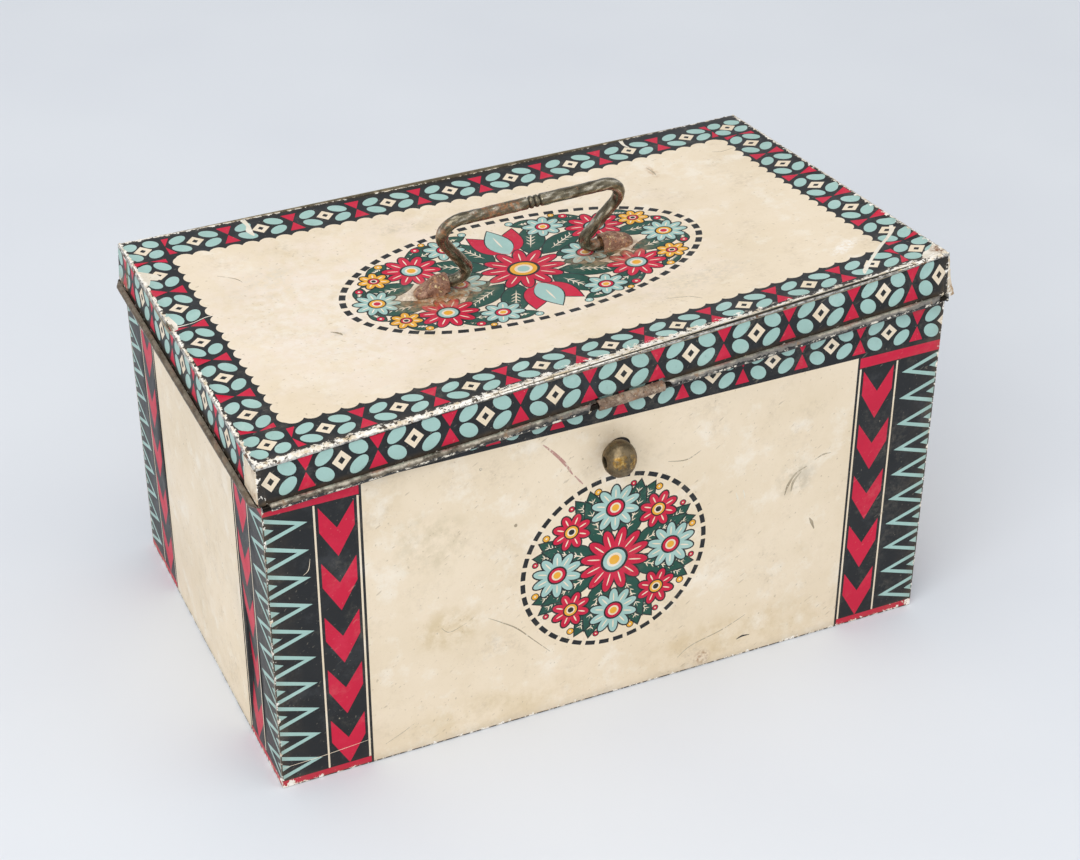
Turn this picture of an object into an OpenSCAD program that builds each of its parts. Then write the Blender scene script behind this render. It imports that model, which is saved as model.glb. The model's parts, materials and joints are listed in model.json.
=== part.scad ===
// Tinplate box with a hinged lid, a bail handle on the lid and a ball knob on the front.
// The origin is the centre of the underside. +X runs along the box, -Y is the front, +Z is up.

/* [Body] */
// Outside length of the body, along X
body_w = 320; // [260:1:400]
// Outside depth of the body, along Y
body_d = 199; // [160:1:260]
// Height of the body's walls
body_h = 169.6; // [130:0.1:220]
// Gauge of the tinplate
sheet_t = 0.5; // [0.4:0.05:0.8]
// Depth of the hem folded inwards along the top of each wall
hem_h = 7; // [4:0.5:12]
// Width of the end panels' flanges, which lap behind the front and back panels
lap_w = 8; // [5:0.5:14]
// Height of the bottom plate's turned-up edge
tray_h = 6; // [4:0.5:12]

/* [Lid] */
// Height of the lid's edge, from its top sheet to the underside of the rolled rim
skirt_h = 21.6; // [17:0.1:30]
// How far the bent lid's front right corner stands above its other corners
lid_twist = 23; // [0:0.5:30]
// How far the middle of the lid's top dips
lid_sag = 5; // [0:0.5:6]
// Gap between the lid's front skirt and the body
front_clear = 1.6; // [1.3:0.1:3]
// Gap between the lid's end skirts and the body
end_clear = 1.2; // [0.6:0.1:3]
// Gap between the lid's top sheet and the walls that it lies on
rest_clear = 0.4; // [0.3:0.1:1]
// Width of the tabs folded round the lid's corners
tab_w = 16; // [10:1:24]

/* [Rim] */
// Diameter of the wires inside the lid's rolled rim
wire_d = 2.6; // [2:0.1:3.4]
// Radial gap between a wire and the sheet rolled round it
roll_clear = 0.05; // [0.02:0.01:0.1]
// Distance from the ends of a rolled rim to the ends of its wire
wire_inset = 1; // [0.5:0.5:4]
// Gap between the side rims and the corner tabs
rim_gap = 0.6; // [0.3:0.1:2]

/* [Hinge] */
// Thickness of the hinge straps
strap_t = 0.9; // [0.7:0.1:1.4]
// Width of a hinge strap and its knuckle
strap_w = 30; // [20:1:44]
// Length of a hinge strap below the hinge line
strap_l = 34; // [26:1:50]
// Distance from the box's middle to the middle of a hinge strap
hinge_x = 92; // [60:1:110]
// Radial running gap between a knuckle and the wire it turns on
knuckle_clear = 0.08; // [0.03:0.01:0.1]
// Gap between a knuckle and the notch it stands in
notch_clear = 0.6; // [0.4:0.1:1.5]
// Diameter of the rivets through the hinge straps
rivet_d = 2.6; // [2:0.1:3.2]
// Diameter of the rivet heads
rivet_head_d = 5.4; // [4.6:0.1:7]
// Height of the rivet heads
rivet_head_h = 1.1; // [0.7:0.1:1.8]
// Distance between the two rivets of a strap
rivet_pitch = 16; // [10:1:18]
// Distance of the rivets below the hinge line
rivet_drop = 22; // [12:1:24]

/* [Hasp] */
// Width of the hasp's knuckle, which is rolled round the front wire
hasp_w = 31; // [20:1:44]
// Offset of the hasp's knuckle from the box's middle
hasp_x = 3; // [-10:0.5:10]
// Thickness of the hasp's strip
hasp_t = 1; // [0.7:0.1:1.2]

/* [Handle] */
// Diameter of the handle's rod
rod_d = 6.1; // [5:0.1:7.5]
// Half of the handle's greatest width, where the lines of bar and leg cross
handle_half_w = 50; // [44:0.5:60]
// Half of the handle's width at its feet, where the lines of leg and foot cross
handle_half_foot = 24.5; // [20:0.5:28]
// Height of the bar above the feet
handle_h = 39; // [35:0.5:48]
// Bend radius of the rod at the bar's ends
bar_bend_r = 8.5; // [6:0.5:11]
// Bend radius of the rod at the feet
foot_bend_r = 5.5; // [4.5:0.5:7]
// How far the handle leans to the front from the lid's middle, in degrees
handle_lean = 21.8; // [0:0.1:40]
// Radius of the three ring grooves round the bar's middle
groove_r = 0.5; // [0.3:0.05:0.7]
// Distance between the ring grooves
groove_pitch = 2.6; // [1.8:0.1:4]

/* [Handle lugs] */
// Distance from the handle's middle to the inner end of a lug
lug_in = 38; // [36:0.5:44]
// Length of a lug
lug_l = 16; // [14:0.5:20]
// Thickness of a lug's wall
lug_t = 1.35; // [1:0.05:2]
// Thickness of a lug's closed end at the foot's end
lug_end_t = 2.7; // [2.2:0.1:4]
// Running gap round the feet of the handle
foot_clear = 0.1; // [0.05:0.01:0.1]
// Gap between the feet of the handle and the lid
floor_clear = 0.3; // [0.2:0.05:0.6]
// Width of the lugs' tabs, which are clenched under the lid
clench_w = 6; // [4:0.5:8]
// Length of the clenched ends of those tabs
clench_l = 3; // [2:0.5:5]

/* [Knob] */
// Diameter of the ball
ball_d = 15; // [12:0.5:20]
// Diameter of the cross hole for a padlock or a pin
cross_d = 4.6; // [3:0.1:6]
// Sideways place of the knob
knob_x = -2.5; // [-20:0.5:20]
// Distance of the knob's middle below the top of the front panel
knob_drop = 34.1; // [30:0.1:70]
// Gap between the ball and the front panel
knob_clear = 0.4; // [0.3:0.1:1]
// Diameter of the knob's shank
shank_d = 6; // [4:0.1:7]
// Diameter of the hole in the front panel
knob_hole_d = 10; // [8:0.1:11]
// Diameter of the washer inside the front panel
washer_d = 18; // [14:0.5:24]
// Thickness of that washer
washer_t = 1; // [0.6:0.1:2]
// Diameter of the shank's riveted end
peen_d = 9; // [8:0.1:12]
// Thickness of the shank's riveted end
peen_t = 1.2; // [0.8:0.1:2]

/* [Hidden] */
$fn = 64;

cream = "#e6d9c0";
charcoal = "#2f3133";
bare_tin = "#7d766a";
rusty_iron = "#7a5c44";
dark_iron = "#5a5347";
old_brass = "#8c7a4e";

// Small gaps that keep fixed pieces from sharing metal
seam_clear = 0.15;
fit_clear = 0.05;
// Overrun of a cutting shape past the face that it cuts
cut = 1;

// Rolled rim, knuckles and hinge line
wire_r = wire_d / 2;
bead_r = wire_r + roll_clear + sheet_t;
// A rolled rim bulges a little inside the sheet that it is rolled from
roll_bulge = 0.05;
rim_out = bead_r - roll_bulge;
knuckle_r = wire_r + knuckle_clear + strap_t;
hasp_r = wire_r + knuckle_clear + hasp_t;
back_clear = knuckle_r - rim_out;
hinge_y = body_d / 2 + knuckle_r;

// Lid: outer faces, heights and size
lid_w = body_w + 2 * (end_clear + sheet_t);
lid_front = -(body_d / 2 + front_clear + sheet_t);
lid_back = body_d / 2 + back_clear + sheet_t;
lid_d = lid_back - lid_front;
lid_mid_y = (lid_front + lid_back) / 2;
lid_under_z = body_h + rest_clear;
lid_top_z = lid_under_z + sheet_t;
wire_z = lid_top_z - skirt_h + bead_r;
skirt_up = lid_under_z - seam_clear - wire_z;
end_run = lid_d - 2 * sheet_t;
end_front_y = lid_front + sheet_t;
end_back_y = lid_back - sheet_t;
right_edge_slope = -lid_twist / lid_d;
side_bare = tab_w - sheet_t + rim_gap;
hasp_mid = (lid_w / 2 + hasp_x) / lid_w * norm([lid_w, lid_twist]);
// Cells of the lid's top sheet, whose bent surface is made of triangles
cells_x = 20;
cells_y = 14;
row = cells_x + 1;
layer = row * (cells_y + 1);
edge_ring = [
    for (i = [0 : cells_x - 1]) i,
    for (j = [0 : cells_y - 1]) j * row + cells_x,
    for (i = [cells_x : -1 : 1]) cells_y * row + i,
    for (j = [cells_y : -1 : 1]) j * row
];

// Rise of the bent lid at a point: a straight twist between its edges, less the dip in the middle
function lid_u(x) = (x + lid_w / 2) / lid_w;
function lid_v(y) = (lid_back - y) / lid_d;
function edge_rise(x, y) = lid_twist * lid_u(x) * lid_v(y);
function dip(s) = 4 * s * (1 - s);
function lid_rise(x, y) = edge_rise(x, y) - lid_sag * dip(lid_u(x)) * dip(lid_v(y));
right_rise = edge_rise(lid_w / 2, end_back_y) - edge_rise(lid_w / 2, end_front_y);

// Handle: seat on the middle of the lid, pivot and bends. The seat is lifted to clear the dished lid
// at the lugs' outer ends.
seat_slope_x = lid_twist / 2 / lid_w;
seat_slope_y = -lid_twist / 2 / lid_d;
rod_r = rod_d / 2;
pivot_h = rod_r + floor_clear;
leg_angle = atan2(handle_h, handle_half_w - handle_half_foot);
foot_tangent = foot_bend_r / tan(leg_angle / 2);
bar_tangent = bar_bend_r / tan(leg_angle / 2);
leg_l = norm([handle_half_w - handle_half_foot, handle_h]) - foot_tangent - bar_tangent;
// The rod draws a little thinner in its bends, and its straight lengths run a little way into them
bend_draw = 0.06;
bend_lap = 0.4;
lug_r = rod_r + foot_clear + lug_t;
lug_out = lug_in + lug_l;
seat_lift = lid_sag * (1 - dip(lid_u(lug_out))) + lid_twist * lug_out * lug_r / (lid_w * lid_d);
seat_z = lid_top_z + lid_rise(0, lid_mid_y) + seat_lift;
foot_end = lug_out - lug_end_t - floor_clear;
clench_x = lug_in + (lug_l - lug_r - clench_w) / 2;
clench_y = rod_r + 2 * foot_clear;
clench_t = lug_r - clench_y;
slot_clear = 0.2;

// Knob: height of the ball's middle and its distance from the front panel's face
knob_z = body_h - knob_drop;
ball_y = ball_d / 2 + knob_clear;

// Sheets of the body

// A long wall along the front, with the hem folded inside its top edge
module long_wall() {
    hem_w = body_w - 2 * (lap_w + seam_clear);
    translate([-body_w / 2, -body_d / 2, 0]) cube([body_w, sheet_t, body_h]);
    translate([-hem_w / 2, -body_d / 2 + sheet_t, body_h - hem_h]) cube([hem_w, sheet_t, hem_h]);
}

// The left end wall, with its hem and the two flanges that lap behind the long walls
module end_wall() {
    inner_d = body_d - 2 * sheet_t;
    lap_z = tray_h + seam_clear;
    translate([-body_w / 2, -inner_d / 2, 0]) cube([sheet_t, inner_d, body_h]);
    translate([-body_w / 2 + sheet_t, -inner_d / 2 + sheet_t, body_h - hem_h])
        cube([sheet_t, inner_d - 2 * sheet_t, hem_h]);
    for (side = [0, 1])
        mirror([0, side, 0])
            translate([-body_w / 2, -inner_d / 2, lap_z])
                cube([lap_w, sheet_t, body_h - lap_z]);
}

module front_panel() {
    color(cream)
        difference() {
            long_wall();
            translate([knob_x, -body_d / 2 - cut, knob_z])
                rotate([-90, 0, 0]) cylinder(d = knob_hole_d, h = sheet_t + 2 * cut);
        }
}

module back_panel() {
    color(cream)
        difference() {
            mirror([0, 1, 0]) long_wall();
            at_rivets() rivet_hole();
        }
}

module left_end_panel() {
    color(cream) end_wall();
}

module right_end_panel() {
    color(cream) mirror([1, 0, 0]) end_wall();
}

// Shallow tray that is soldered inside the foot of the walls
module bottom_plate() {
    tray_w = body_w - 2 * sheet_t;
    tray_d = body_d - 2 * sheet_t;
    color(bare_tin)
        difference() {
            translate([-tray_w / 2, -tray_d / 2, 0]) cube([tray_w, tray_d, tray_h]);
            translate([-tray_w / 2 + sheet_t, -tray_d / 2 + sheet_t, sheet_t])
                cube([tray_w - 2 * sheet_t, tray_d - 2 * sheet_t, tray_h]);
        }
}

// Hinge straps and rivets

// Places its children at each rivet on the back panel's face, for one strap or both
module at_rivets(sides = [-1, 1]) {
    for (side = sides, end = [-1, 1])
        translate([side * hinge_x + end * rivet_pitch / 2, body_d / 2, wire_z - rivet_drop])
            children();
}

module rivet_hole() {
    rotate([90, 0, 0])
        cylinder(d = rivet_d + 2 * fit_clear, h = 2 * (strap_t + sheet_t + cut), center = true);
}

// Domed rivet head standing on the plane y = 0
module rivet_head() {
    dome_r = (pow(rivet_head_d / 2, 2) + pow(rivet_head_h, 2)) / (2 * rivet_head_h);
    intersection() {
        translate([0, rivet_head_h - dome_r, 0]) sphere(r = dome_r);
        rotate([-90, 0, 0]) cylinder(d = rivet_head_d, h = rivet_head_h);
    }
}

module hinge_rivets() {
    color(rusty_iron)
        at_rivets() {
            translate([0, -sheet_t, 0])
                rotate([-90, 0, 0]) cylinder(d = rivet_d, h = strap_t + sheet_t);
            translate([0, strap_t, 0]) rivet_head();
            translate([0, -sheet_t, 0]) mirror([0, 1, 0]) rivet_head();
        }
}

// A strap on the back panel, rolled round the hinge wire at its top
module hinge_strap(side) {
    difference() {
        translate([side * hinge_x - strap_w / 2, 0, wire_z]) {
            translate([0, body_d / 2, -strap_l]) cube([strap_w, strap_t, strap_l]);
            translate([0, hinge_y, 0]) rotate([0, 90, 0]) cylinder(r = knuckle_r, h = strap_w);
        }
        translate([side * hinge_x, hinge_y, wire_z])
            rotate([0, 90, 0])
                cylinder(r = wire_r + knuckle_clear, h = strap_w + 2 * cut, center = true);
        at_rivets([side]) rivet_hole();
    }
}

module hinge_strap_left() {
    color(rusty_iron) hinge_strap(-1);
}

module hinge_strap_right() {
    color(rusty_iron) hinge_strap(1);
}

// Knob

// Ball with a cross hole, turned in one piece with the shank that is riveted over inside
module ball_knob() {
    shank_from = (ball_d + cross_d) / 4;
    shank_to = ball_y + sheet_t + washer_t;
    color(old_brass)
        translate([knob_x, -body_d / 2 - ball_y, knob_z]) {
            rotate([0, 90, 0])
                rotate_extrude()
                    difference() {
                        circle(d = ball_d);
                        translate([cross_d / 2 - ball_d, -ball_d / 2]) square(ball_d);
                    }
            rotate([-90, 0, 0]) {
                translate([0, 0, shank_from]) cylinder(d = shank_d, h = shank_to - shank_from);
                translate([0, 0, shank_to]) cylinder(d = peen_d, h = peen_t);
            }
        }
}

module knob_washer() {
    color(rusty_iron)
        translate([knob_x, -body_d / 2 + sheet_t, knob_z])
            rotate([-90, 0, 0])
                difference() {
                    cylinder(d = washer_d, h = washer_t);
                    translate([0, 0, -cut])
                        cylinder(d = shank_d + 2 * fit_clear, h = washer_t + 2 * cut);
                }
}

// Lid sheets. Each skirt is built along +X with its outer side to -Y and its wire at z = 0.

module at_front_edge() {
    translate([-lid_w / 2, lid_front + sheet_t, wire_z]) children();
}

module at_back_edge() {
    translate([lid_w / 2, lid_back - sheet_t, wire_z]) rotate([0, 0, 180]) children();
}

module at_left_edge() {
    translate([-lid_w / 2 + sheet_t, end_back_y, wire_z]) rotate([0, 0, -90]) children();
}

module at_right_edge() {
    translate([lid_w / 2 - sheet_t, end_front_y, wire_z + edge_rise(lid_w / 2, end_front_y)])
        rotate([0, 0, 90]) children();
}

// A round bar along a rim that climbs by rise over run, from one place along it to another
module rim_bar(run, rise, from, to, r) {
    rotate([0, -atan2(rise, run), 0])
        translate([from, -rim_out, 0]) rotate([0, 90, 0]) cylinder(r = r, h = to - from);
}

// Notch through a rim, for a knuckle of the given width and radius
module rim_notch(run, rise, middle, width, r) {
    notch_w = width + 2 * notch_clear;
    notch_r = r + notch_clear;
    rotate([0, -atan2(rise, run), 0])
        translate([middle - notch_w / 2, -rim_out - notch_r - cut, -notch_r])
            cube([notch_w, 2 * (notch_r + cut), 2 * notch_r]);
}

// Sheet of a skirt with its lower edge rolled outwards round the wire
module skirt(run, rise, bare_ends = 0) {
    rim_l = norm([run, rise]);
    difference() {
        union() {
            rotate([90, 0, 0])
                linear_extrude(sheet_t)
                    polygon([[0, 0], [run, rise], [run, skirt_up + rise], [0, skirt_up]]);
            rim_bar(run, rise, bare_ends, rim_l - bare_ends, bead_r);
        }
        rim_bar(run, rise, -cut, rim_l + cut, wire_r + roll_clear);
    }
}

module rim_wire(run, rise, bare_ends = 0) {
    inset = bare_ends + wire_inset;
    rim_bar(run, rise, inset, norm([run, rise]) - inset, wire_r);
}

// Tab that a long skirt folds round a corner onto the end skirt
module corner_tab(slope) {
    step = slope * tab_w;
    rotate([90, 0, 0])
        linear_extrude(sheet_t)
            polygon([[0, -bead_r], [tab_w, step - bead_r], [tab_w, step + skirt_up], [0, skirt_up]]);
}

module left_tab(front_y) {
    translate([-lid_w / 2, front_y + tab_w, wire_z]) rotate([0, 0, -90]) corner_tab(0);
}

module right_tab(front_y) {
    translate([lid_w / 2, front_y, wire_z + edge_rise(lid_w / 2, front_y)])
        rotate([0, 0, 90]) corner_tab(right_edge_slope);
}

module lid_front_skirt() {
    color(charcoal) {
        difference() {
            at_front_edge() skirt(lid_w, lid_twist);
            at_front_edge() rim_notch(lid_w, lid_twist, hasp_mid, hasp_w, hasp_r);
        }
        left_tab(lid_front);
        right_tab(lid_front);
    }
}

module lid_back_skirt() {
    color(charcoal) {
        difference() {
            at_back_edge() skirt(lid_w, 0);
            for (side = [-1, 1])
                at_back_edge() rim_notch(lid_w, 0, lid_w / 2 + side * hinge_x, strap_w, knuckle_r);
        }
        left_tab(lid_back - tab_w);
        right_tab(lid_back - tab_w);
    }
}

module lid_left_skirt() {
    color(charcoal) at_left_edge() skirt(end_run, 0, side_bare);
}

module lid_right_skirt() {
    color(charcoal) at_right_edge() skirt(end_run, right_rise, side_bare);
}

module lid_front_wire() {
    color(dark_iron) at_front_edge() rim_wire(lid_w, lid_twist);
}

module lid_left_wire() {
    color(dark_iron) at_left_edge() rim_wire(end_run, 0, side_bare);
}

module lid_right_wire() {
    color(dark_iron) at_right_edge() rim_wire(end_run, right_rise, side_bare);
}

module hinge_wire() {
    color(dark_iron) at_back_edge() rim_wire(lid_w, 0);
}

// What is left of the hasp: its knuckle, rolled round the front wire
module hasp_knuckle() {
    color(rusty_iron)
        at_front_edge()
            difference() {
                rim_bar(lid_w, lid_twist, hasp_mid - hasp_w / 2, hasp_mid + hasp_w / 2, hasp_r);
                rim_bar(lid_w, lid_twist, 0, lid_w, wire_r + knuckle_clear);
            }
}

// Bent top sheet: two layers of grid points, joined round the edge

function sheet_points(z) = [
    for (j = [0 : cells_y], i = [0 : cells_x])
        let (x = lid_w * (i / cells_x - 0.5), y = lid_front + lid_d * j / cells_y)
            [x, y, z + lid_rise(x, y)]
];
function quad(a, b, c, d) = [[a, b, c], [a, c, d]];
function top_faces() = [
    for (j = [0 : cells_y - 1], i = [0 : cells_x - 1])
        let (a = j * row + i)
            each quad(a, a + row, a + row + 1, a + 1)
];
function under_faces() = [
    for (face = top_faces()) [face[2] + layer, face[1] + layer, face[0] + layer]
];
function edge_faces(ring) = [
    for (k = [0 : len(ring) - 1])
        let (a = ring[k], b = ring[(k + 1) % len(ring)])
            each quad(a, b, b + layer, a + layer)
];

module lid_top() {
    color(cream)
        difference() {
            polyhedron(
                concat(sheet_points(lid_top_z), sheet_points(lid_under_z)),
                concat(top_faces(), under_faces(), edge_faces(edge_ring))
            );
            on_lid() both_lugs() clench_slots();
        }
}

// Handle and lugs, built on the plane of the lid's middle

module on_lid() {
    translate([0, lid_mid_y, seat_z])
        rotate([atan(seat_slope_y / norm([1, seat_slope_x])), -atan(seat_slope_x), 0]) children();
}

module both_lugs() {
    for (side = [0, 1]) mirror([side, 0, 0]) children();
}

module clench_slots() {
    for (side = [0, 1])
        mirror([0, side, 0])
            translate([clench_x - slot_clear, clench_y - slot_clear, -sheet_t - seat_lift - cut])
                cube([clench_w + 2 * slot_clear, clench_t + 2 * slot_clear, sheet_t + seat_lift + 2 * cut]);
}

// Tab through the lid, bent outwards and clenched below it
module clench_tab() {
    under = -sheet_t - seat_lift - fit_clear;
    translate([clench_x, clench_y, under - lug_t]) cube([clench_w, clench_t, pivot_h - under + lug_t]);
    translate([clench_x, clench_y, under - lug_t]) cube([clench_w, clench_t + clench_l, lug_t]);
}

// Half-round lug over a foot of the handle, closed and rounded at its outer end
module lug() {
    straight = lug_l - lug_r;
    hollow_r = rod_r + foot_clear;
    difference() {
        union() {
            translate([lug_in, 0, pivot_h]) rotate([0, 90, 0]) cylinder(r = lug_r, h = straight);
            translate([lug_in, -lug_r, fit_clear]) cube([straight, 2 * lug_r, pivot_h - fit_clear]);
            translate([lug_in + straight, 0, pivot_h]) sphere(r = lug_r);
            translate([lug_in + straight, 0, fit_clear]) cylinder(r = lug_r, h = pivot_h - fit_clear);
        }
        translate([lug_in - cut, -lug_r - cut, fit_clear - lug_r])
            cube([lug_l + 2 * cut, 2 * (lug_r + cut), lug_r]);
        translate([lug_in - cut, 0, pivot_h])
            rotate([0, 90, 0]) cylinder(r = hollow_r, h = lug_l - lug_end_t + cut);
        translate([lug_in - cut, -hollow_r, -cut])
            cube([lug_l - lug_end_t + cut, 2 * hollow_r, pivot_h + cut]);
    }
    for (side = [0, 1]) mirror([0, side, 0]) clench_tab();
}

module handle_lug_left() {
    color(rusty_iron) on_lid() mirror([1, 0, 0]) lug();
}

module handle_lug_right() {
    color(rusty_iron) on_lid() lug();
}

// A bend of the rod in the XZ plane, round a centre, from one angle to another
module rod_bend(x, z, r, from, to) {
    translate([x, 0, z])
        rotate([90, 0, 0])
            rotate([0, 0, from])
                rotate_extrude(angle = to - from) translate([r, 0]) circle(r = rod_r - bend_draw);
}

// A straight length of the rod along +X, which laps into the bend at either end
module rod_length(l) {
    translate([-bend_lap, 0, 0]) rotate([0, 90, 0]) cylinder(r = rod_r, h = l + 2 * bend_lap);
}

// The bar, with three ring grooves round its middle
module handle_bar() {
    bar_l = 2 * (handle_half_w - bar_tangent);
    translate([0, 0, handle_h])
        difference() {
            translate([-bar_l / 2, 0, 0]) rod_length(bar_l);
            for (k = [-1 : 1])
                translate([k * groove_pitch, 0, 0])
                    rotate([0, 90, 0])
                        rotate_extrude() translate([rod_r, 0]) circle(r = groove_r);
        }
}

// The leg and foot at the right end of the bar, with their bends
module handle_leg() {
    bend_x = handle_half_foot + foot_tangent;
    rod_bend(handle_half_w - bar_tangent, handle_h - bar_bend_r, bar_bend_r, leg_angle - 90, 90);
    translate([handle_half_foot, 0, 0])
        rotate([0, -leg_angle, 0]) translate([foot_tangent, 0, 0]) rod_length(leg_l);
    rod_bend(bend_x, foot_bend_r, foot_bend_r, leg_angle + 90, 270);
    translate([bend_x, 0, 0]) rod_length(foot_end - bend_x - bend_lap);
}

module carry_handle() {
    color(dark_iron)
        on_lid()
            translate([0, 0, pivot_h])
                rotate([handle_lean, 0, 0]) {
                    handle_bar();
                    for (side = [0, 1]) mirror([side, 0, 0]) handle_leg();
                }
}

front_panel();
back_panel();
left_end_panel();
right_end_panel();
bottom_plate();
hinge_strap_left();
hinge_strap_right();
hinge_rivets();
ball_knob();
knob_washer();
lid_top();
lid_front_skirt();
lid_back_skirt();
lid_left_skirt();
lid_right_skirt();
lid_front_wire();
lid_left_wire();
lid_right_wire();
hinge_wire();
handle_lug_left();
handle_lug_right();
carry_handle();
hasp_knuckle();
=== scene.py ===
"""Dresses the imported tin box: printed sheets, worn rims, worked handle and studio."""

import json
import logging
import math
from dataclasses import dataclass, field
from enum import Enum
from typing import Callable, Iterable

import bpy
from mathutils import Matrix, Vector, noise
from mathutils.geometry import delaunay_2d_cdt
from mathutils.kdtree import KDTree


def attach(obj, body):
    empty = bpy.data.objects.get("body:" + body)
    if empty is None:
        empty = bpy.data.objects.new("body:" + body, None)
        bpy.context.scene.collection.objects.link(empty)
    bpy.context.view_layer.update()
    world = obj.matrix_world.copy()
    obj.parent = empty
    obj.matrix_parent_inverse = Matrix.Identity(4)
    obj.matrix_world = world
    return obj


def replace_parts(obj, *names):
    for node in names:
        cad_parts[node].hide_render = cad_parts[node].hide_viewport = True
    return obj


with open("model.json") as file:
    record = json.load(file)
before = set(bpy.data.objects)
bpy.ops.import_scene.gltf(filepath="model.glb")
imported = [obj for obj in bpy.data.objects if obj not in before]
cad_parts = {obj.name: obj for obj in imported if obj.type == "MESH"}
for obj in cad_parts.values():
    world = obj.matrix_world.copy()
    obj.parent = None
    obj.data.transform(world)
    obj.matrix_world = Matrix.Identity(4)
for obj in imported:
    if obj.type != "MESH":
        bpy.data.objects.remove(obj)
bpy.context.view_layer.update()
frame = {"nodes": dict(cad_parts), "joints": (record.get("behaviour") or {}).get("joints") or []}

LOG = logging.getLogger("tin_box")
MM = 0.001
MERGE = 1e-5
SMOOTH_ANGLE = math.radians(40)
Point = tuple[float, float]
Point3 = tuple[float, float, float]
Face = Callable[[float, float, float], Point3]
Material = bpy.types.Material
Piece = bpy.types.Object
Socket = bpy.types.NodeSocket


class Ink(Enum):
    """Inks of the print, in the order of a sheet's material slots."""

    CREAM = 0
    CHARCOAL = 1
    TEAL = 2
    CRIMSON = 3
    GREEN = 4
    YELLOW = 5
    PRIMER = 6
    MADDER = 7
    SCUFF = 8


class Run(Enum):
    """Which way an ornament row runs on its sheet."""

    ACROSS = 0
    UP = 1


# Sizes of the tin in millimetres


@dataclass(frozen=True)
class TinSize:
    """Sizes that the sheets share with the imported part, then the bends that only the sheets have."""

    width: float = 320.0
    depth: float = 199.0
    height: float = 169.6
    sheet: float = 0.5
    hem: float = 7.0
    lap: float = 8.0
    tray: float = 6.0
    seam: float = 0.15
    lid_half: float = 161.7
    lid_front: float = -101.6
    lid_back: float = 100.48
    lid_top: float = 170.5
    twist: float = 23.0
    sag: float = 5.0
    wire_drop: float = 19.75
    lean_left: float = 1.3
    lean_left_more: float = -1.3
    lean_right: float = 4.0
    lift_back: float = 3.0
    lift_front: float = 2.6
    lift_from: float = 10.0

    @property
    def lid_depth(self) -> float:
        """Depth of the lid's top."""
        return self.lid_back - self.lid_front

    def across(self, x: float) -> float:
        """Share of the way from the lid's left end to its right."""
        return (x + self.lid_half) / (2 * self.lid_half)

    def forward(self, y: float) -> float:
        """Share of the way from the lid's back to its front."""
        return (self.lid_back - y) / self.lid_depth

    def edge_rise(self, x: float, y: float) -> float:
        """Rise of the bent lid's straight edges over its lowest corner, at a place."""
        return self.twist * self.across(x) * self.forward(y)

    def lid_end(self, side: int, y: float, height: float = 1.0) -> float:
        """Place of the lid's ends, which lean in towards the top, most at the bent corner.

        Args:
            side: Sign of the end.
            y: Place from front to back.
            height: Height, 0 at the rim's wire and 1 at the lid's top.

        Returns:
            The end's outer face along the box.
        """
        lean = self.lean_left + self.lean_left_more * self.forward(y)
        if side > 0:
            lean = self.lean_right * self.forward(y)
        return side * (self.lid_half - lean * height)

    def lid_lift(self, x: float, y: float) -> float:
        """How far the lid's right end is bent up beyond its even twist, 0 over the left part."""
        forward = self.forward(y)
        share = max(0.0, (x - self.lift_from) / (self.lid_half - self.lift_from))
        return self.lift_back * share * (1 - forward) + self.lift_front * forward * share ** 4

    def lid_height(self, x: float, y: float) -> float:
        """Height of the lid's top above the floor, with its dip in the middle."""
        across, forward = self.across(x), self.forward(y)
        dip = 16 * across * (1 - across) * forward * (1 - forward)
        return self.lid_top + self.edge_rise(x, y) - self.sag * dip


TIN = TinSize()


# Materials


def linear(code: str, alpha: float = 1.0) -> tuple[float, float, float, float]:
    """Turns an sRGB hex colour to linear.

    Args:
        code: Six hex digits after a hash.
        alpha: The fourth value.

    Returns:
        Linear red, green, blue and alpha.
    """
    parts = [int(code[i:i + 2], 16) / 255 for i in (1, 3, 5)]
    red, green, blue = (p / 12.92 if p <= 0.04045 else ((p + 0.055) / 1.055) ** 2.4 for p in parts)
    return red, green, blue, alpha


def add(tree: bpy.types.NodeTree, kind: str, values: dict | None = None, **settings) -> bpy.types.Node:
    """Adds a node with its settings, values and links.

    Args:
        tree: The material's node tree.
        kind: The node's type name.
        values: Values or sockets by input name or number.
        **settings: The node's own properties.

    Returns:
        The new node.
    """
    node = tree.nodes.new(kind)
    for name, value in settings.items():
        setattr(node, name, value)
    for name, value in (values or {}).items():
        if isinstance(value, Socket):
            tree.links.new(value, node.inputs[name])
        else:
            node.inputs[name].default_value = value
    return node


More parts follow.
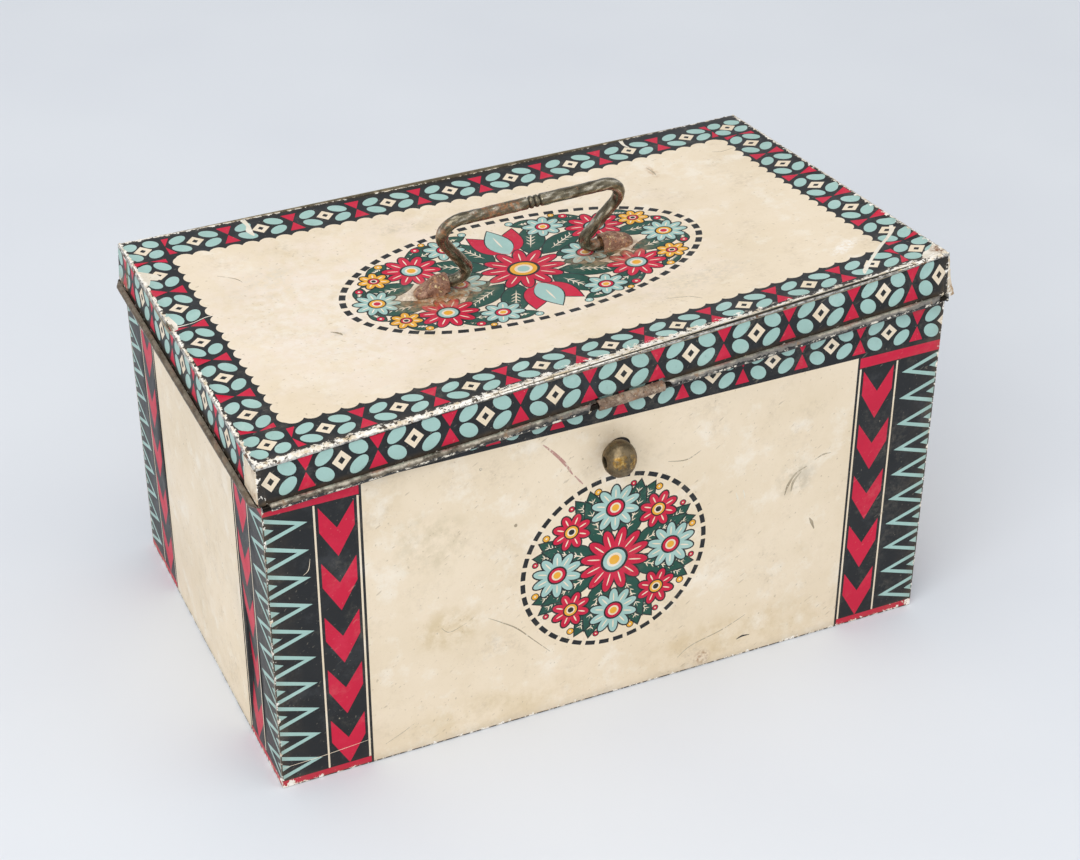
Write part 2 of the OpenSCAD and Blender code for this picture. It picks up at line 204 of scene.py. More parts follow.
@dataclass
class Finish:
    """A material under way: its tree, its shader and places in millimetres."""

    name: str
    material: Material = field(init=False)
    tree: bpy.types.NodeTree = field(init=False)
    shader: bpy.types.Node = field(init=False)
    place: Socket = field(init=False)

    def __post_init__(self) -> None:
        """Makes the empty material with its shader and coordinates."""
        self.material = bpy.data.materials.new(self.name)
        self.material.use_nodes = True
        self.tree = self.material.node_tree
        self.tree.nodes.clear()
        self.shader = add(self.tree, "ShaderNodeBsdfPrincipled")
        output = add(self.tree, "ShaderNodeOutputMaterial")
        self.tree.links.new(self.shader.outputs[0], output.inputs[0])
        place = add(self.tree, "ShaderNodeTexCoord").outputs["Object"]
        values = {"Vector": place, "Scale": (1 / MM,) * 3}
        self.place = add(self.tree, "ShaderNodeMapping", values).outputs[0]

    def noise(self, size: float, detail: float = 4.0, rough: float = 0.6,
              place: Socket | None = None) -> Socket:
        """Soft noise with grains of a size in millimetres.

        Args:
            size: Width of a grain.
            detail: Octaves of finer noise.
            rough: Weight of those octaves.
            place: Coordinates, or the object's own in millimetres.

        Returns:
            A value from 0 to 1.
        """
        values = {"Vector": place or self.place, "Scale": 1 / size, "Detail": detail, "Roughness": rough}
        return add(self.tree, "ShaderNodeTexNoise", values).outputs[0]

    def ramp(self, value: Socket, low: float, high: float,
             to_low: float = 0.0, to_high: float = 1.0) -> Socket:
        """Maps a value to another range, held at its ends.

        Args:
            value: The value that is mapped.
            low: Where the ramp starts.
            high: Where the ramp ends.
            to_low: Result at the start.
            to_high: Result at the end.

        Returns:
            The mapped value.
        """
        values = {0: value, 1: low, 2: high, 3: to_low, 4: to_high}
        return add(self.tree, "ShaderNodeMapRange", values, clamp=True).outputs[0]

    def chain(self, operation: str, *terms: float | Socket) -> Socket:
        """Chains one arithmetic operation over its terms.

        Args:
            operation: Blender's name of the operation.
            *terms: Values or sockets.

        Returns:
            The result.
        """
        result = terms[0]
        for term in terms[1:]:
            result = add(self.tree, "ShaderNodeMath", {0: result, 1: term}, operation=operation).outputs[0]
        return result

    def plus(self, *terms: float | Socket) -> Socket:
        """Adds its terms."""
        return self.chain("ADD", *terms)

    def minus(self, *terms: float | Socket) -> Socket:
        """Takes the later terms from the first."""
        return self.chain("SUBTRACT", *terms)

    def times(self, *terms: float | Socket) -> Socket:
        """Multiplies its terms."""
        return self.chain("MULTIPLY", *terms)

    def most(self, *terms: float | Socket) -> Socket:
        """The greatest of its terms."""
        return self.chain("MAXIMUM", *terms)

    def over(self, below: str | Socket, above: str | Socket, mask: float | Socket) -> Socket:
        """Lays one colour over another.

        Args:
            below: Hex colour or socket below.
            above: Hex colour or socket above.
            mask: How much of the upper colour shows.

        Returns:
            The mixed colour.
        """
        colours = [linear(c) if isinstance(c, str) else c for c in (below, above)]
        values = {0: mask, 6: colours[0], 7: colours[1]}
        return add(self.tree, "ShaderNodeMix", values, data_type="RGBA").outputs[2]

    def scratches(self, turn: Point3, spacing: float, cut: float) -> Socket:
        """Thin straight scratches along one direction.

        Args:
            turn: Turns of the scratches' direction about X, Y and Z, in degrees.
            spacing: Typical width between scratches.
            cut: Noise level above which a scratch shows.

        Returns:
            A mask of the scratches.
        """
        scale = (0.02, 1 / spacing, 1 / spacing)
        rotation = tuple(math.radians(a) for a in turn)
        turned = add(self.tree, "ShaderNodeMapping", {"Vector": self.place, "Rotation": rotation}).outputs[0]
        drawn = add(self.tree, "ShaderNodeMapping", {"Vector": turned, "Scale": scale}).outputs[0]
        return self.ramp(self.noise(1.0, 2.0, 0.4, drawn), cut, cut + 0.05)

    def near(self, centre: Point3, radii: Point3, turn: Point3 = (0, 0, 0)) -> Socket:
        """Falls from 1 at a place to 0 at the border of an ellipsoid round it.

        Args:
            centre: The place in millimetres.
            radii: Half widths of the ellipsoid.
            turn: Its turns about X, Y and Z, in degrees.

        Returns:
            A soft mask.
        """
        rotation = tuple(math.radians(a) for a in turn)
        values = {"Vector": self.place, "Location": centre, "Rotation": rotation, "Scale": radii}
        local = add(self.tree, "ShaderNodeMapping", values, vector_type="TEXTURE").outputs[0]
        length = add(self.tree, "ShaderNodeVectorMath", {0: local}, operation="LENGTH").outputs["Value"]
        return self.ramp(length, 0.0, 1.0, 1.0, 0.0)

    def bump(self, height: Socket, strength: float, distance: float) -> None:
        """Gives the shader a relief.

        Args:
            height: Height from 0 to 1.
            strength: Weight of the relief.
            distance: Depth in millimetres.
        """
        values = {"Strength": strength, "Distance": distance * MM, "Height": height}
        normal = add(self.tree, "ShaderNodeBump", values).outputs[0]
        self.tree.links.new(normal, self.shader.inputs["Normal"])

    def set(self, **sockets) -> None:
        """Sets or links the shader's sockets by name, with underscores for spaces."""
        for name, value in sockets.items():
            socket = self.shader.inputs[name.replace("_", " ")]
            if isinstance(value, Socket):
                self.tree.links.new(value, socket)
            else:
                socket.default_value = value


@dataclass(frozen=True)
class Mark:
    """A soft smear on the print: where it is, how large and how strong."""

    centre: Point3
    radii: Point3
    colour: str
    strength: float
    turn: Point3 = (0.0, 0.0, 0.0)
    grain: float = 2.5


@dataclass(frozen=True)
class InkFinish:
    """Lithographed ink on tinplate, satin varnished, chipped to primer and bare metal at its edges."""

    ink: Ink
    colour: str
    shade: str
    pale: str
    fleck: str
    fleck_cut: float
    scratch: float
    marks: tuple[Mark, ...] = ()

    def build(self) -> Material:
        """Builds the ink's material.

        Returns:
            The finished material.
        """
        f = Finish(f"lithographed_tin_{self.ink.name.lower()}")
        broad = f.noise(42, 3, 0.5)
        mottle = f.noise(8, 5, 0.62)
        grain = f.noise(0.9, 2, 0.5)
        chip = f.noise(2.6, 6, 0.68)
        wear = add(f.tree, "ShaderNodeAttribute", attribute_name="wear").outputs["Vector"]
        edge, primer, dust = add(f.tree, "ShaderNodeSeparateXYZ", {0: wear}).outputs
        # Handling darkens the ink in some clouds and rubs it pale in others, and its dots make a grain
        tone = f.over(self.colour, self.shade, f.ramp(broad, 0.40, 0.75, 0.0, 0.45))
        tone = f.over(tone, self.shade, f.ramp(mottle, 0.5, 0.85, 0.0, 0.4))
        tone = f.over(tone, self.shade, f.ramp(grain, 0.55, 0.9, 0.0, 0.3))
        tone = f.over(tone, self.pale, f.ramp(f.noise(15, 6, 0.7), 0.53, 0.68, 0.0, 0.55))
        smear = f.times(f.ramp(f.noise(19, 5, 0.66), 0.52, 0.68), f.ramp(f.noise(2.1, 5, 0.7), 0.40, 0.66))
        tone = f.over(tone, self.fleck, f.times(smear, self.scratch, 0.7))
        for mark in self.marks:
            soft = f.near(mark.centre, mark.radii, mark.turn)
            patchy = f.ramp(f.noise(mark.grain, 5, 0.7), 0.42, 0.62)
            mask = f.times(f.ramp(soft, 0.0, 0.5), patchy, mark.strength)
            tone = f.over(tone, mark.colour, mask)
        lines = f.most(f.scratches((20, 35, 50), 1.1, 0.70), f.scratches((-35, 20, -28), 1.6, 0.72))
        tone = f.over(tone, self.fleck, f.times(lines, self.scratch))
        flecks = f.ramp(chip, self.fleck_cut, self.fleck_cut + 0.03)
        tone = f.over(tone, self.fleck, f.times(flecks, 0.8))
        # Grime gathers along the edges, where the print is worn to primer, then metal, then rust
        grime = f.ramp(f.plus(edge, f.times(mottle, 9.0)), 4.0, 12.0, 0.2, 0.0)
        tone = f.over(tone, "#6E5B43", grime)
        tone = f.over(tone, "#9A8060", f.times(dust, f.ramp(f.noise(3.5, 5, 0.65), 0.36, 0.66, 0.1, 1.0)))
        reach = f.plus(f.ramp(f.noise(3.0, 6, 0.68), 0.36, 0.62, -3.2, 2.2), f.times(primer, 2.6))
        worn = f.ramp(f.minus(reach, edge), 0.0, 0.2)
        worn = f.times(worn, f.ramp(f.noise(2.0, 5, 0.68), 0.57, 0.60, 1.0, 0.0))
        rubbed = f.ramp(f.noise(3.4, 6, 0.7), 0.36, 0.64, -1.2, 0.2)
        bared = f.ramp(f.minus(rubbed, edge), 0.0, 0.15)
        rusted = f.ramp(f.noise(5.5, 6, 0.7), 0.57, 0.63)
        tone = f.over(tone, f.over("#F8F2E7", "#CDB792", f.ramp(f.noise(4.5, 6, 0.7), 0.46, 0.66)), worn)
        metal = f.over("#D2CFC8", "#6A6764", f.ramp(f.noise(3.0, 6, 0.7), 0.44, 0.60))
        tone = f.over(tone, f.over(metal, "#6E4C34", rusted), bared)
        f.set(Base_Color=tone)
        f.set(Metallic=f.times(bared, f.ramp(rusted, 0.0, 1.0, 0.35, 0.1)))
        f.set(Roughness=f.plus(f.ramp(mottle, 0.3, 0.8, 0.36, 0.52), f.times(worn, 0.2)))
        f.set(Specular_IOR_Level=0.22)
        relief = f.minus(f.times(mottle, 0.35), f.times(worn, 0.5))
        relief = f.minus(relief, f.times(f.most(flecks, bared), 0.3))
        f.bump(relief, 0.35, 0.22)
        return f.material


def tinned_inside() -> Material:
    """Tinplate lacquered inside: a dull warm grey sheen with stains and rust at its edges."""
    f = Finish("lacquered_tinplate_inside")
    cloud = f.noise(26, 5, 0.6)
    spot = f.noise(3.2, 6, 0.7)
    tone = f.over("#B3A88F", "#8D8067", f.ramp(cloud, 0.35, 0.7))
    rust = f.ramp(f.plus(spot, f.times(cloud, 0.25)), 0.70, 0.78)
    tone = f.over(tone, "#7A5233", f.times(rust, 0.85))
    tone = f.over(tone, "#D8CFBC", f.scratches((15, 25, 40), 1.4, 0.71))
    f.set(Base_Color=tone, Metallic=f.ramp(rust, 0.0, 1.0, 0.75, 0.1))
    f.set(Roughness=f.ramp(spot, 0.3, 0.8, 0.34, 0.6))
    f.bump(spot, 0.25, 0.15)
    return f.material


def worn_rim() -> Material:
    """Rolled tinplate rim: rubbed grey metal above with a painted highlight along the top of the roll, dark
    ink with a line of primer chips below, some rust.
    """
    f = Finish("worn_tinplate_rim")
    chip = f.noise(2.4, 6, 0.7)
    patch = f.noise(9, 5, 0.65)
    x, y, z = add(f.tree, "ShaderNodeSeparateXYZ", {0: f.place}).outputs
    # The level is the height over the middle of the rim's wire, which rises with the bent lid
    slope = TIN.twist / (2 * TIN.lid_half * TIN.lid_depth)
    rise = f.times(f.plus(x, TIN.lid_half), f.minus(TIN.lid_back, y), slope)
    level = f.minus(z, rise, TIN.lid_top - TIN.wire_drop)
    ragged = f.plus(level, f.ramp(chip, 0.3, 0.7, -0.7, 0.7))
    metal = f.over("#4C443A", "#857B6C", f.ramp(chip, 0.40, 0.60))
    metal = f.over(metal, "#8E8B87", f.ramp(x, -70.0, 10.0, 0.0, 0.6))
    # Painted highlight: a pale band along the top of the roll, broken by noise and weaker at the left end
    light = f.ramp(f.plus(level, f.ramp(patch, 0.35, 0.65, -1.2, 0.4)), 0.6, 1.2)
    light = f.times(light, f.ramp(chip, 0.36, 0.56, 0.3, 1.0), f.ramp(x, -162.5, -160.0, 0.8, 1.0))
    metal = f.over(metal, "#C6BDAB", light)
    rust = f.ramp(f.noise(6, 6, 0.72), 0.56, 0.64)
    tone = f.over(metal, "#8A6A4A", f.times(rust, 0.8))
    inked = f.ramp(f.plus(ragged, f.ramp(patch, 0.3, 0.7, -0.6, 0.6)), 0.0, 0.25, 1.0, 0.0)
    tone = f.over(tone, "#1E1F20", inked)
    beside = add(f.tree, "ShaderNodeMath", {0: f.plus(level, 0.5)}, operation="ABSOLUTE").outputs[0]
    band = f.ramp(beside, 0.3, 0.8, 1.0, 0.0)
    tone = f.over(tone, "#6E5943", f.ramp(x, -162.6, -160.0, 0.55, 0.0))
    primed = f.times(band, f.ramp(f.noise(2.2, 6, 0.72), 0.53, 0.57))
    tone = f.over(tone, "#EFE6D4", primed)
    lacquer = f.ramp(level, 2.4, 3.0)
    tone = f.over(tone, f.over("#B3A88F", "#8D8067", f.ramp(patch, 0.35, 0.7)), lacquer)
    painted = f.most(inked, primed, rust)
    f.set(Base_Color=tone, Metallic=f.ramp(painted, 0.0, 1.0, 0.7, 0.05))
    f.set(Roughness=f.ramp(chip, 0.3, 0.7, 0.34, 0.58))
    f.bump(f.plus(f.times(inked, 0.4), chip), 0.4, 0.2)
    return f.material


@dataclass(frozen=True)
class RustFinish:
    """Rusted sheet iron: matt browns with orange bloom, dark pits and a little bare metal."""

    name: str
    deep: str
    pale: str
    bloom: str
    fleck: str

    def build(self) -> Material:
        """Builds the rust's material.

        Returns:
            The finished material.
        """
        f = Finish(self.name)
        broad = f.noise(3.2, 6, 0.72)
        pit = f.noise(1.1, 6, 0.7)
        tone = f.over(self.deep, self.pale, f.ramp(broad, 0.42, 0.58))
        tone = f.over(tone, self.deep, f.ramp(f.noise(13, 4, 0.6), 0.45, 0.65, 0.0, 0.7))
        tone = f.over(tone, self.bloom, f.ramp(f.noise(2.4, 6, 0.7), 0.55, 0.66, 0.0, 0.8))
        tone = f.over(tone, "#33261D", f.ramp(pit, 0.54, 0.68, 0.0, 0.85))
        bright = f.ramp(f.noise(2.0, 6, 0.74), 0.57, 0.62)
        tone = f.over(tone, self.fleck, f.times(bright, 0.85))
        f.set(Base_Color=tone, Metallic=f.ramp(broad, 0.4, 0.7, 0.25, 0.05))
        f.set(Roughness=f.ramp(pit, 0.3, 0.7, 0.45, 0.8))
        f.bump(f.plus(pit, broad), 0.6, 0.3)
        return f.material


def worked_iron() -> Material:
    """Chased iron rod, browned and rubbed: painted shade in its hollows, grey ridges with painted pale
    highlights, and rust in patches.
    """
    f = Finish("browned_iron_rod")
    scale = f.noise(2.2, 5, 0.62)
    work = add(f.tree, "ShaderNodeAttribute", attribute_name="work").outputs["Fac"]
    # Painted light and shade: the raised parts of the worked surface are coloured lighter and its hollows
    # darker
    tone = f.over("#4C4538", "#8A816C", f.ramp(f.plus(work, f.times(scale, 0.6)), 0.50, 1.0))
    # Painted highlight: pale streaks along the highest ridges
    tone = f.over(tone, "#C6BEAD", f.ramp(f.plus(work, f.times(f.noise(0.9, 4, 0.6), 0.5)), 0.82, 1.0))
    # Painted shade: very dark in the deepest hollows
    tone = f.over(tone, "#1C1813", f.ramp(work, 0.05, 0.22, 0.95, 0.0))
    left = f.most(f.near((-20, -13, 212), (17, 9, 9)), f.near((-49, -11, 208), (12, 10, 13)),
                 f.near((38, -2, 180), (12, 12, 10)))
    rust = f.ramp(f.plus(f.noise(2.6, 6, 0.72), f.times(left, 0.26)), 0.60, 0.70)
    tone = f.over(tone, f.over("#6B4930", "#B06D38", f.ramp(scale, 0.42, 0.66)), f.times(rust, 0.75))
    f.set(Base_Color=tone, Metallic=f.ramp(rust, 0.0, 1.0, 0.85, 0.15))
    f.set(Roughness=f.ramp(scale, 0.3, 0.75, 0.30, 0.16))
    f.bump(f.plus(scale, f.noise(0.7, 3, 0.6)), 0.2, 0.2)
    return f.material


def old_brass() -> Material:
    """Turned brass gone brown: a dull yellow metal with dark patina in clouds, and rubbed spots on the ball's
    front painted bright gold as highlights.
    """
    f = Finish("tarnished_brass")
    cloud = f.noise(6, 5, 0.65)
    spot = f.noise(1.3, 5, 0.65)
    tone = f.over("#85755B", "#4E4331", f.ramp(cloud, 0.40, 0.62))
    # Rubbed brass on the ball's front, painted light gold: partly wear, partly painted highlight
    rubbed = f.most(f.near((-6.3, -113.2, 137.3), (5, 5, 5)), f.near((0.7, -114.2, 136), (4, 4, 5)))
    rubbed = f.ramp(f.plus(rubbed, f.ramp(f.noise(1.7, 6, 0.7), 0.3, 0.7, -0.6, 0.6)), 0.25, 0.8)
    tone = f.over(tone, f.over("#A37A36", "#D2B06C", f.ramp(f.noise(1.2, 4, 0.6), 0.45, 0.65)), rubbed)
    tone = f.over(tone, "#2E261B", f.ramp(spot, 0.58, 0.70, 0.0, 0.8))
    f.set(Base_Color=tone, Metallic=f.ramp(cloud, 0.4, 0.7, 1.0, 0.6))
    f.set(Roughness=f.ramp(spot, 0.3, 0.7, 0.3, 0.6))
    f.bump(f.plus(cloud, spot), 0.4, 0.25)
    return f.material


def paper_floor() -> Material:
    """Pale studio paper: a matt cool white with hardly any grain."""
    f = Finish("pale_studio_paper")
    tone = f.over("#E3E6EA", "#DFE2E7", f.ramp(f.noise(180, 2, 0.5), 0.3, 0.7))
    f.set(Base_Color=tone, Roughness=0.9, Specular_IOR_Level=0.2)
    return f.material


# Print


@dataclass(frozen=True)
class RowSize:
    """Sizes of one ornament row: petals round a lozenge, and hourglasses between them."""

    pitch: float
    spread: Point
    petal: Point
    tilt: float
    lozenge: Point
    core: Point
    glass: Point


SKIRT_ROW = RowSize(31.5, (7.5, 4.25), (4.75, 3.15), 40, (4.3, 4.9), (1.6, 1.9), (4.0, 8.2))
LID_ROW = RowSize(31.87, (7.5, 4.2), (4.75, 3.0), 34, (4.3, 4.6), (1.5, 1.7), (3.7, 7.6))
BODY_ROW = RowSize(29.35, (6.9, 4.25), (4.45, 3.1), 40, (4.15, 4.2), (1.6, 1.7), (3.4, 7.8))
LID_CORNER = RowSize(24.0, (5.0, 5.0), (4.0, 3.2), 45, (4.4, 4.6), (1.5, 1.6), (3.6, 7.6))


def ellipse_points(radii: Point, sides: int) -> list[Point]:
    """Points of an ellipse round the origin, from its two half widths."""
    angles = [2 * math.pi * k / sides for k in range(sides)]
    return [(radii[0] * math.cos(a), radii[1] * math.sin(a)) for a in angles]


def turned(points: Iterable[Point], centre: Point, angle: float) -> list[Point]:
    """Turns points by an angle in degrees and moves them to a centre."""
    cos, sin = math.cos(math.radians(angle)), math.sin(math.radians(angle))
    return [(centre[0] + a * cos - b * sin, centre[1] + a * sin + b * cos) for a, b in points]


def polar(centre: Point, reach: float, angle: float) -> Point:
    """A place at a distance and an angle in degrees from another."""
    turn = math.radians(angle)
    return centre[0] + reach * math.cos(turn), centre[1] + reach * math.sin(turn)


@dataclass
class Layout:
    """The inks of one sheet, drawn from the lowest to the uppermost."""

    patches: list[tuple[Ink, list[Point]]] = field(default_factory=list)

    def shape(self, ink: Ink, points: Iterable[Point]) -> None:
        """Draws a filled outline.

        Args:
            ink: Its ink.
            points: The outline.
        """
        self.patches.append((ink, list(points)))

    def block(self, ink: Ink, low: Point, high: Point) -> None:
        """Draws a rectangle between two corners."""
        self.shape(ink, [low, (high[0], low[1]), high, (low[0], high[1])])

    def ellipse(self, ink: Ink, centre: Point, radii: Point, tilt: float = 0.0, sides: int = 20) -> None:
        """Draws an ellipse.

        Args:
            ink: Its ink.
            centre: Its middle.
            radii: Its two half widths.
            tilt: Turn of the first half width, in degrees.
            sides: Number of points.
        """
        self.shape(ink, turned(ellipse_points(radii, sides), centre, tilt))

    def lens(self, ink: Ink, base: Point, length: float, width: float, angle: float, steps: int = 9) -> None:
        """Draws a leaf form, pointed at both ends.

        Args:
            ink: Its ink.
            base: Its foot.
            length: Length from foot to tip.
            width: Greatest width.
            angle: Direction in degrees.
            steps: Points along each side.
        """
        side = [(length * k / steps, width / 2 * math.sin(math.pi * (k / steps) ** 0.85))
                for k in range(steps + 1)]
        self.shape(ink, turned(side + [(a, -b) for a, b in side[-2:0:-1]], base, angle))

    def stroke(self, ink: Ink, points: list[Point], widths: list[float]) -> None:
        """Draws a line with a width at each point.

        Args:
            ink: Its ink.
            points: The line.
            widths: Width at each point.
        """
        steps = 5
        line = []
        for k in range(len(points) - 1):
            a, b, c, d = (points[min(max(j, 0), len(points) - 1)] for j in (k - 1, k, k + 1, k + 2))
            for t in (j / steps for j in range(steps + (k == len(points) - 2))):
                x, y = (q + t * (r - p + t * (2 * p - 5 * q + 4 * r - s + t * (3 * q - p - 3 * r + s))) / 2
                        for p, q, r, s in zip(a, b, c, d))
                line.append((x, y, widths[k] + (widths[k + 1] - widths[k]) * t))
        left, right = [], []
        for k, (x, y, width) in enumerate(line):
            before, after = line[max(k - 1, 0)], line[min(k + 1, len(line) - 1)]
            run, rise = after[0] - before[0], after[1] - before[1]
            length = math.hypot(run, rise)
            nx, ny = -rise / length * width / 2, run / length * width / 2
            left.append((x + nx, y + ny))
            right.append((x - nx, y - ny))
        self.shape(ink, left + right[::-1])

    def strokes(self, lines: Iterable[tuple[Ink, list[Point], list[float]]]) -> None:
        """Draws lines in order, each with its ink, its points and its widths."""
        for ink, points, widths in lines:
            self.stroke(ink, points, widths)

    def move(self, to: Callable[[float, float], Point]) -> None:
        """Moves every point drawn so far."""
        self.patches = [(ink, [to(*point) for point in outline]) for ink, outline in self.patches]

    def rosette(self, centre: Point, size: RowSize, run: Run) -> None:
        """Draws four petals round a lozenge.

        Args:
            centre: Its middle.
            size: Sizes of the row.
            run: Which way the row runs.
        """
        for sx in (-1, 1):
            for sy in (-1, 1):
                spot = self.along(centre, (sx * size.spread[0], sy * size.spread[1]), run)
                tilt = -sx * sy * size.tilt
                self.ellipse(Ink.TEAL, spot, size.petal, tilt + (90 if run is Run.UP else 0))
        for ink, (a, b) in ((Ink.CREAM, size.lozenge), (Ink.CHARCOAL, size.core)):
            corners = ((a, 0), (0, b), (-a, 0), (0, -b))
            self.shape(ink, [self.along(centre, corner, run) for corner in corners])

    def hourglass(self, centre: Point, size: RowSize, run: Run, sides: tuple[int, ...] = (-1, 1)) -> None:
        """Draws two triangles tip to tip across a row.

        Args:
            centre: Where the tips meet.
            size: Sizes of the row.
            run: Which way the row runs.
            sides: Which halves along the row are drawn.
        """
        half_w, half_h = size.glass
        low = (min(sides) if -1 in sides else 0) * half_w
        high = (max(sides) if 1 in sides else 0) * half_w
        for up in (-1, 1):
            corners = ((low, up * half_h), (high, up * half_h), (0, up * 0.35))
            self.shape(Ink.CRIMSON, [self.along(centre, corner, run) for corner in corners])

    def row(self, middle: Point, size: RowSize, run: Run, count: int, offset: float = 0.0) -> None:
        """Draws a row of rosettes with hourglasses between them.

        Args:
            middle: Middle of the row.
            size: Sizes of the row.
            run: Which way the row runs.
            count: Rosettes on each side of the middle.
            offset: Shift of the rosettes in pitches.
        """
        for k in range(-count, count + 1):
            self.rosette(self.along(middle, ((k + offset) * size.pitch, 0), run), size, run)
            self.hourglass(self.along(middle, ((k + offset + 0.5) * size.pitch, 0), run), size, run)

    @staticmethod
    def along(centre: Point, step: Point, run: Run) -> Point:
        """Steps from a middle in the row's own directions."""
        if run is Run.UP:
            return centre[0] - step[1], centre[1] + step[0]
        return centre[0] + step[0], centre[1] + step[1]

    def dashes(self, centre: Point, radii: Point, count: int, width: float, fill: float) -> None:
        """Draws an oval of dashes, evenly spaced along it.

        Args:
            centre: Its middle.
            radii: Its half widths to the middle of the dashes.
            count: Number of dashes.
            width: Width of the dashed line.
            fill: Share of the line that the dashes fill.
        """
        ring = ellipse_points(radii, 1440)
        ring.append(ring[0])
        travel = [0.0]
        for a, b in zip(ring, ring[1:]):
            travel.append(travel[-1] + math.dist(a, b))
        step = travel[-1] / count
        for k in range(count):
            start, stop = k * step, (k + fill) * step
            part = [p for p, t in zip(ring, travel) if start <= t <= stop]
            points = [(centre[0] + x, centre[1] + y) for x, y in (part[0], part[len(part) // 2], part[-1])]
            self.stroke(Ink.CHARCOAL, points, [width] * 3)

    def daisy(self, centre: Point, radius: float, petals: int, inks: tuple[Ink, Ink, Ink]) -> None:
        """Draws a plain daisy with outlined petals.

        Args:
            centre: Its middle.
            radius: Its outer radius.
            petals: Number of petals.
            inks: Inks of the petals, the ring and the heart.
        """
        reach, half = radius * 0.62, radius * 0.62 * math.sin(math.pi / petals) * 0.94
        for grow, ink in ((0.75, Ink.CHARCOAL), (0.0, inks[0]), (-1.0, Ink.CREAM)):
            for k in range(petals):
                angle = 360 * (k + 0.5) / petals
                spot = polar(centre, reach, angle)
                if grow < 0:
                    self.ellipse(ink, spot, (radius * 0.2, 0.35), angle, 8)
                else:
                    self.ellipse(ink, spot, (radius * 0.38 + grow, half + grow), angle, 16)
        for share, ink in ((0.40, Ink.CHARCOAL), (0.33, inks[1]), (0.22, Ink.CREAM), (0.15, inks[2])):
            self.ellipse(ink, centre, (radius * share, radius * share))

    def leaf(self, base: Point, length: float, width: float, angle: float) -> None:
        """Draws an outlined leaf with a pale rib and veins.

        Args:
            base: Its foot.
            length: Its length.
            width: Its width.
            angle: Its direction in degrees.
        """
        self.lens(Ink.CHARCOAL, polar(base, -0.8, angle), length + 1.8, width + 1.1, angle)
        self.lens(Ink.GREEN, base, length, width, angle)
        self.lens(Ink.CREAM, polar(base, 0.2 * length, angle), 0.62 * length, 0.7, angle)
        for k in range(3, 8):
            spot = polar(base, 0.1 * k * length, angle)
            for side in (-1, 1):
                self.lens(Ink.CREAM, spot, 0.26 * width, 0.55, angle + side * 42, 4)

    def tulip(self, base: Point, size: float, angle: float) -> None:
        """Draws an outlined tulip of three petals.

        Args:
            base: Its foot.
            size: Its length.
            angle: Its direction in degrees.
        """
        for turn, ink in ((26, Ink.CRIMSON), (-26, Ink.CRIMSON), (0, Ink.TEAL)):
            self.lens(Ink.CHARCOAL, base, size + 0.9, size * 0.46 + 1.0, angle + turn)
            self.lens(ink, base, size, size * 0.46, angle + turn)
        self.lens(Ink.CREAM, polar(base, 0.3 * size, angle), 0.45 * size, 0.9, angle)

    def berry(self, centre: Point, radius: float, ink: Ink) -> None:
        """Draws an outlined berry with a pale eye."""
        for share, tone in ((radius + 0.45, Ink.CHARCOAL), (radius, ink), (radius * 0.35, Ink.CREAM)):
            self.ellipse(tone, centre, (share, share), 0, 14)

    def scallops(self, ink: Ink, half: Point, counts: tuple[int, int], depth: float, middle: Point) -> None:
        """Draws a rectangle whose sides are rows of outward scallops.

        Args:
            ink: Its ink.
            half: Half width and half height between the cusps.
            counts: Scallops along its width and its height.
            depth: Depth of a scallop.
            middle: Its middle.
        """
        corners = [(-half[0], -half[1]), (half[0], -half[1]), (half[0], half[1]), (-half[0], half[1])]
        arc = 7
        points = []
        for k, (start, stop) in enumerate(zip(corners, corners[1:] + corners[:1])):
            count = counts[k % 2]
            run = ((stop[0] - start[0]) / count, (stop[1] - start[1]) / count)
            length = math.hypot(*run)
            out = (run[1] / length * depth, -run[0] / length * depth)
            for j in range(count):
                for i in range(arc):
                    share = i / arc
                    bulge = math.sin(math.pi * share) ** 0.7 if i else 0.0
                    points.append((middle[0] + start[0] + (j + share) * run[0] + bulge * out[0],
                                   middle[1] + start[1] + (j + share) * run[1] + bulge * out[1]))
        self.shape(ink, points)

    def post(self, edge: float, inward: int) -> None:
        """Draws the upright border at a corner of the body.

        Args:
            edge: Place of the corner.
            inward: Sign of the direction away from the corner.
        """
        def flip(points: Iterable[Point]) -> list[Point]:
            """Turns distances from the corner to places."""
            return [(edge + inward * x, z) for x, z in points]

        # Inks of the upright bars with their sides and their ends
        bars = ((Ink.CHARCOAL, -1.0, 42.5, 0.0, 151.0), (Ink.CRIMSON, -1.0, 41.4, 144.6, 149.8),
                (Ink.CRIMSON, -1.0, 41.4, -0.2, 3.7), (Ink.CREAM, 21.4, 22.25, 3.9, 144.1),
                (Ink.CREAM, 40.4, 41.3, 3.9, 144.1))
        for ink, x0, x1, z0, z1 in bars:
            self.shape(ink, flip([(x0, z0), (x1, z0), (x1, z1), (x0, z1)]))
        left, middle, right = 23.6, 31.35, 39.1
        chevrons, chevron_top, chevron_pitch = 5, 142.5, 28.1
        for k in range(chevrons):
            top = chevron_top - chevron_pitch * k
            self.shape(Ink.CRIMSON, flip([(left, top), (middle, top - 12.0), (right, top),
                                          (right, top - 12.5), (middle, top - 26.4), (left, top - 12.5)]))
        tip_foot, tips, tip_top, tip_pitch = 0.5, 10, 137.1, 13.99
        for k in range(tips):
            level = tip_top - tip_pitch * k
            for ink, half, reach in ((Ink.TEAL, 6.5, 18.9), (Ink.CHARCOAL, 4.4, 13.7), (Ink.TEAL, 1.8, 4.4)):
                self.shape(ink, flip([(tip_foot, level + half), (reach, level), (tip_foot, level - half)]))


# Sheets


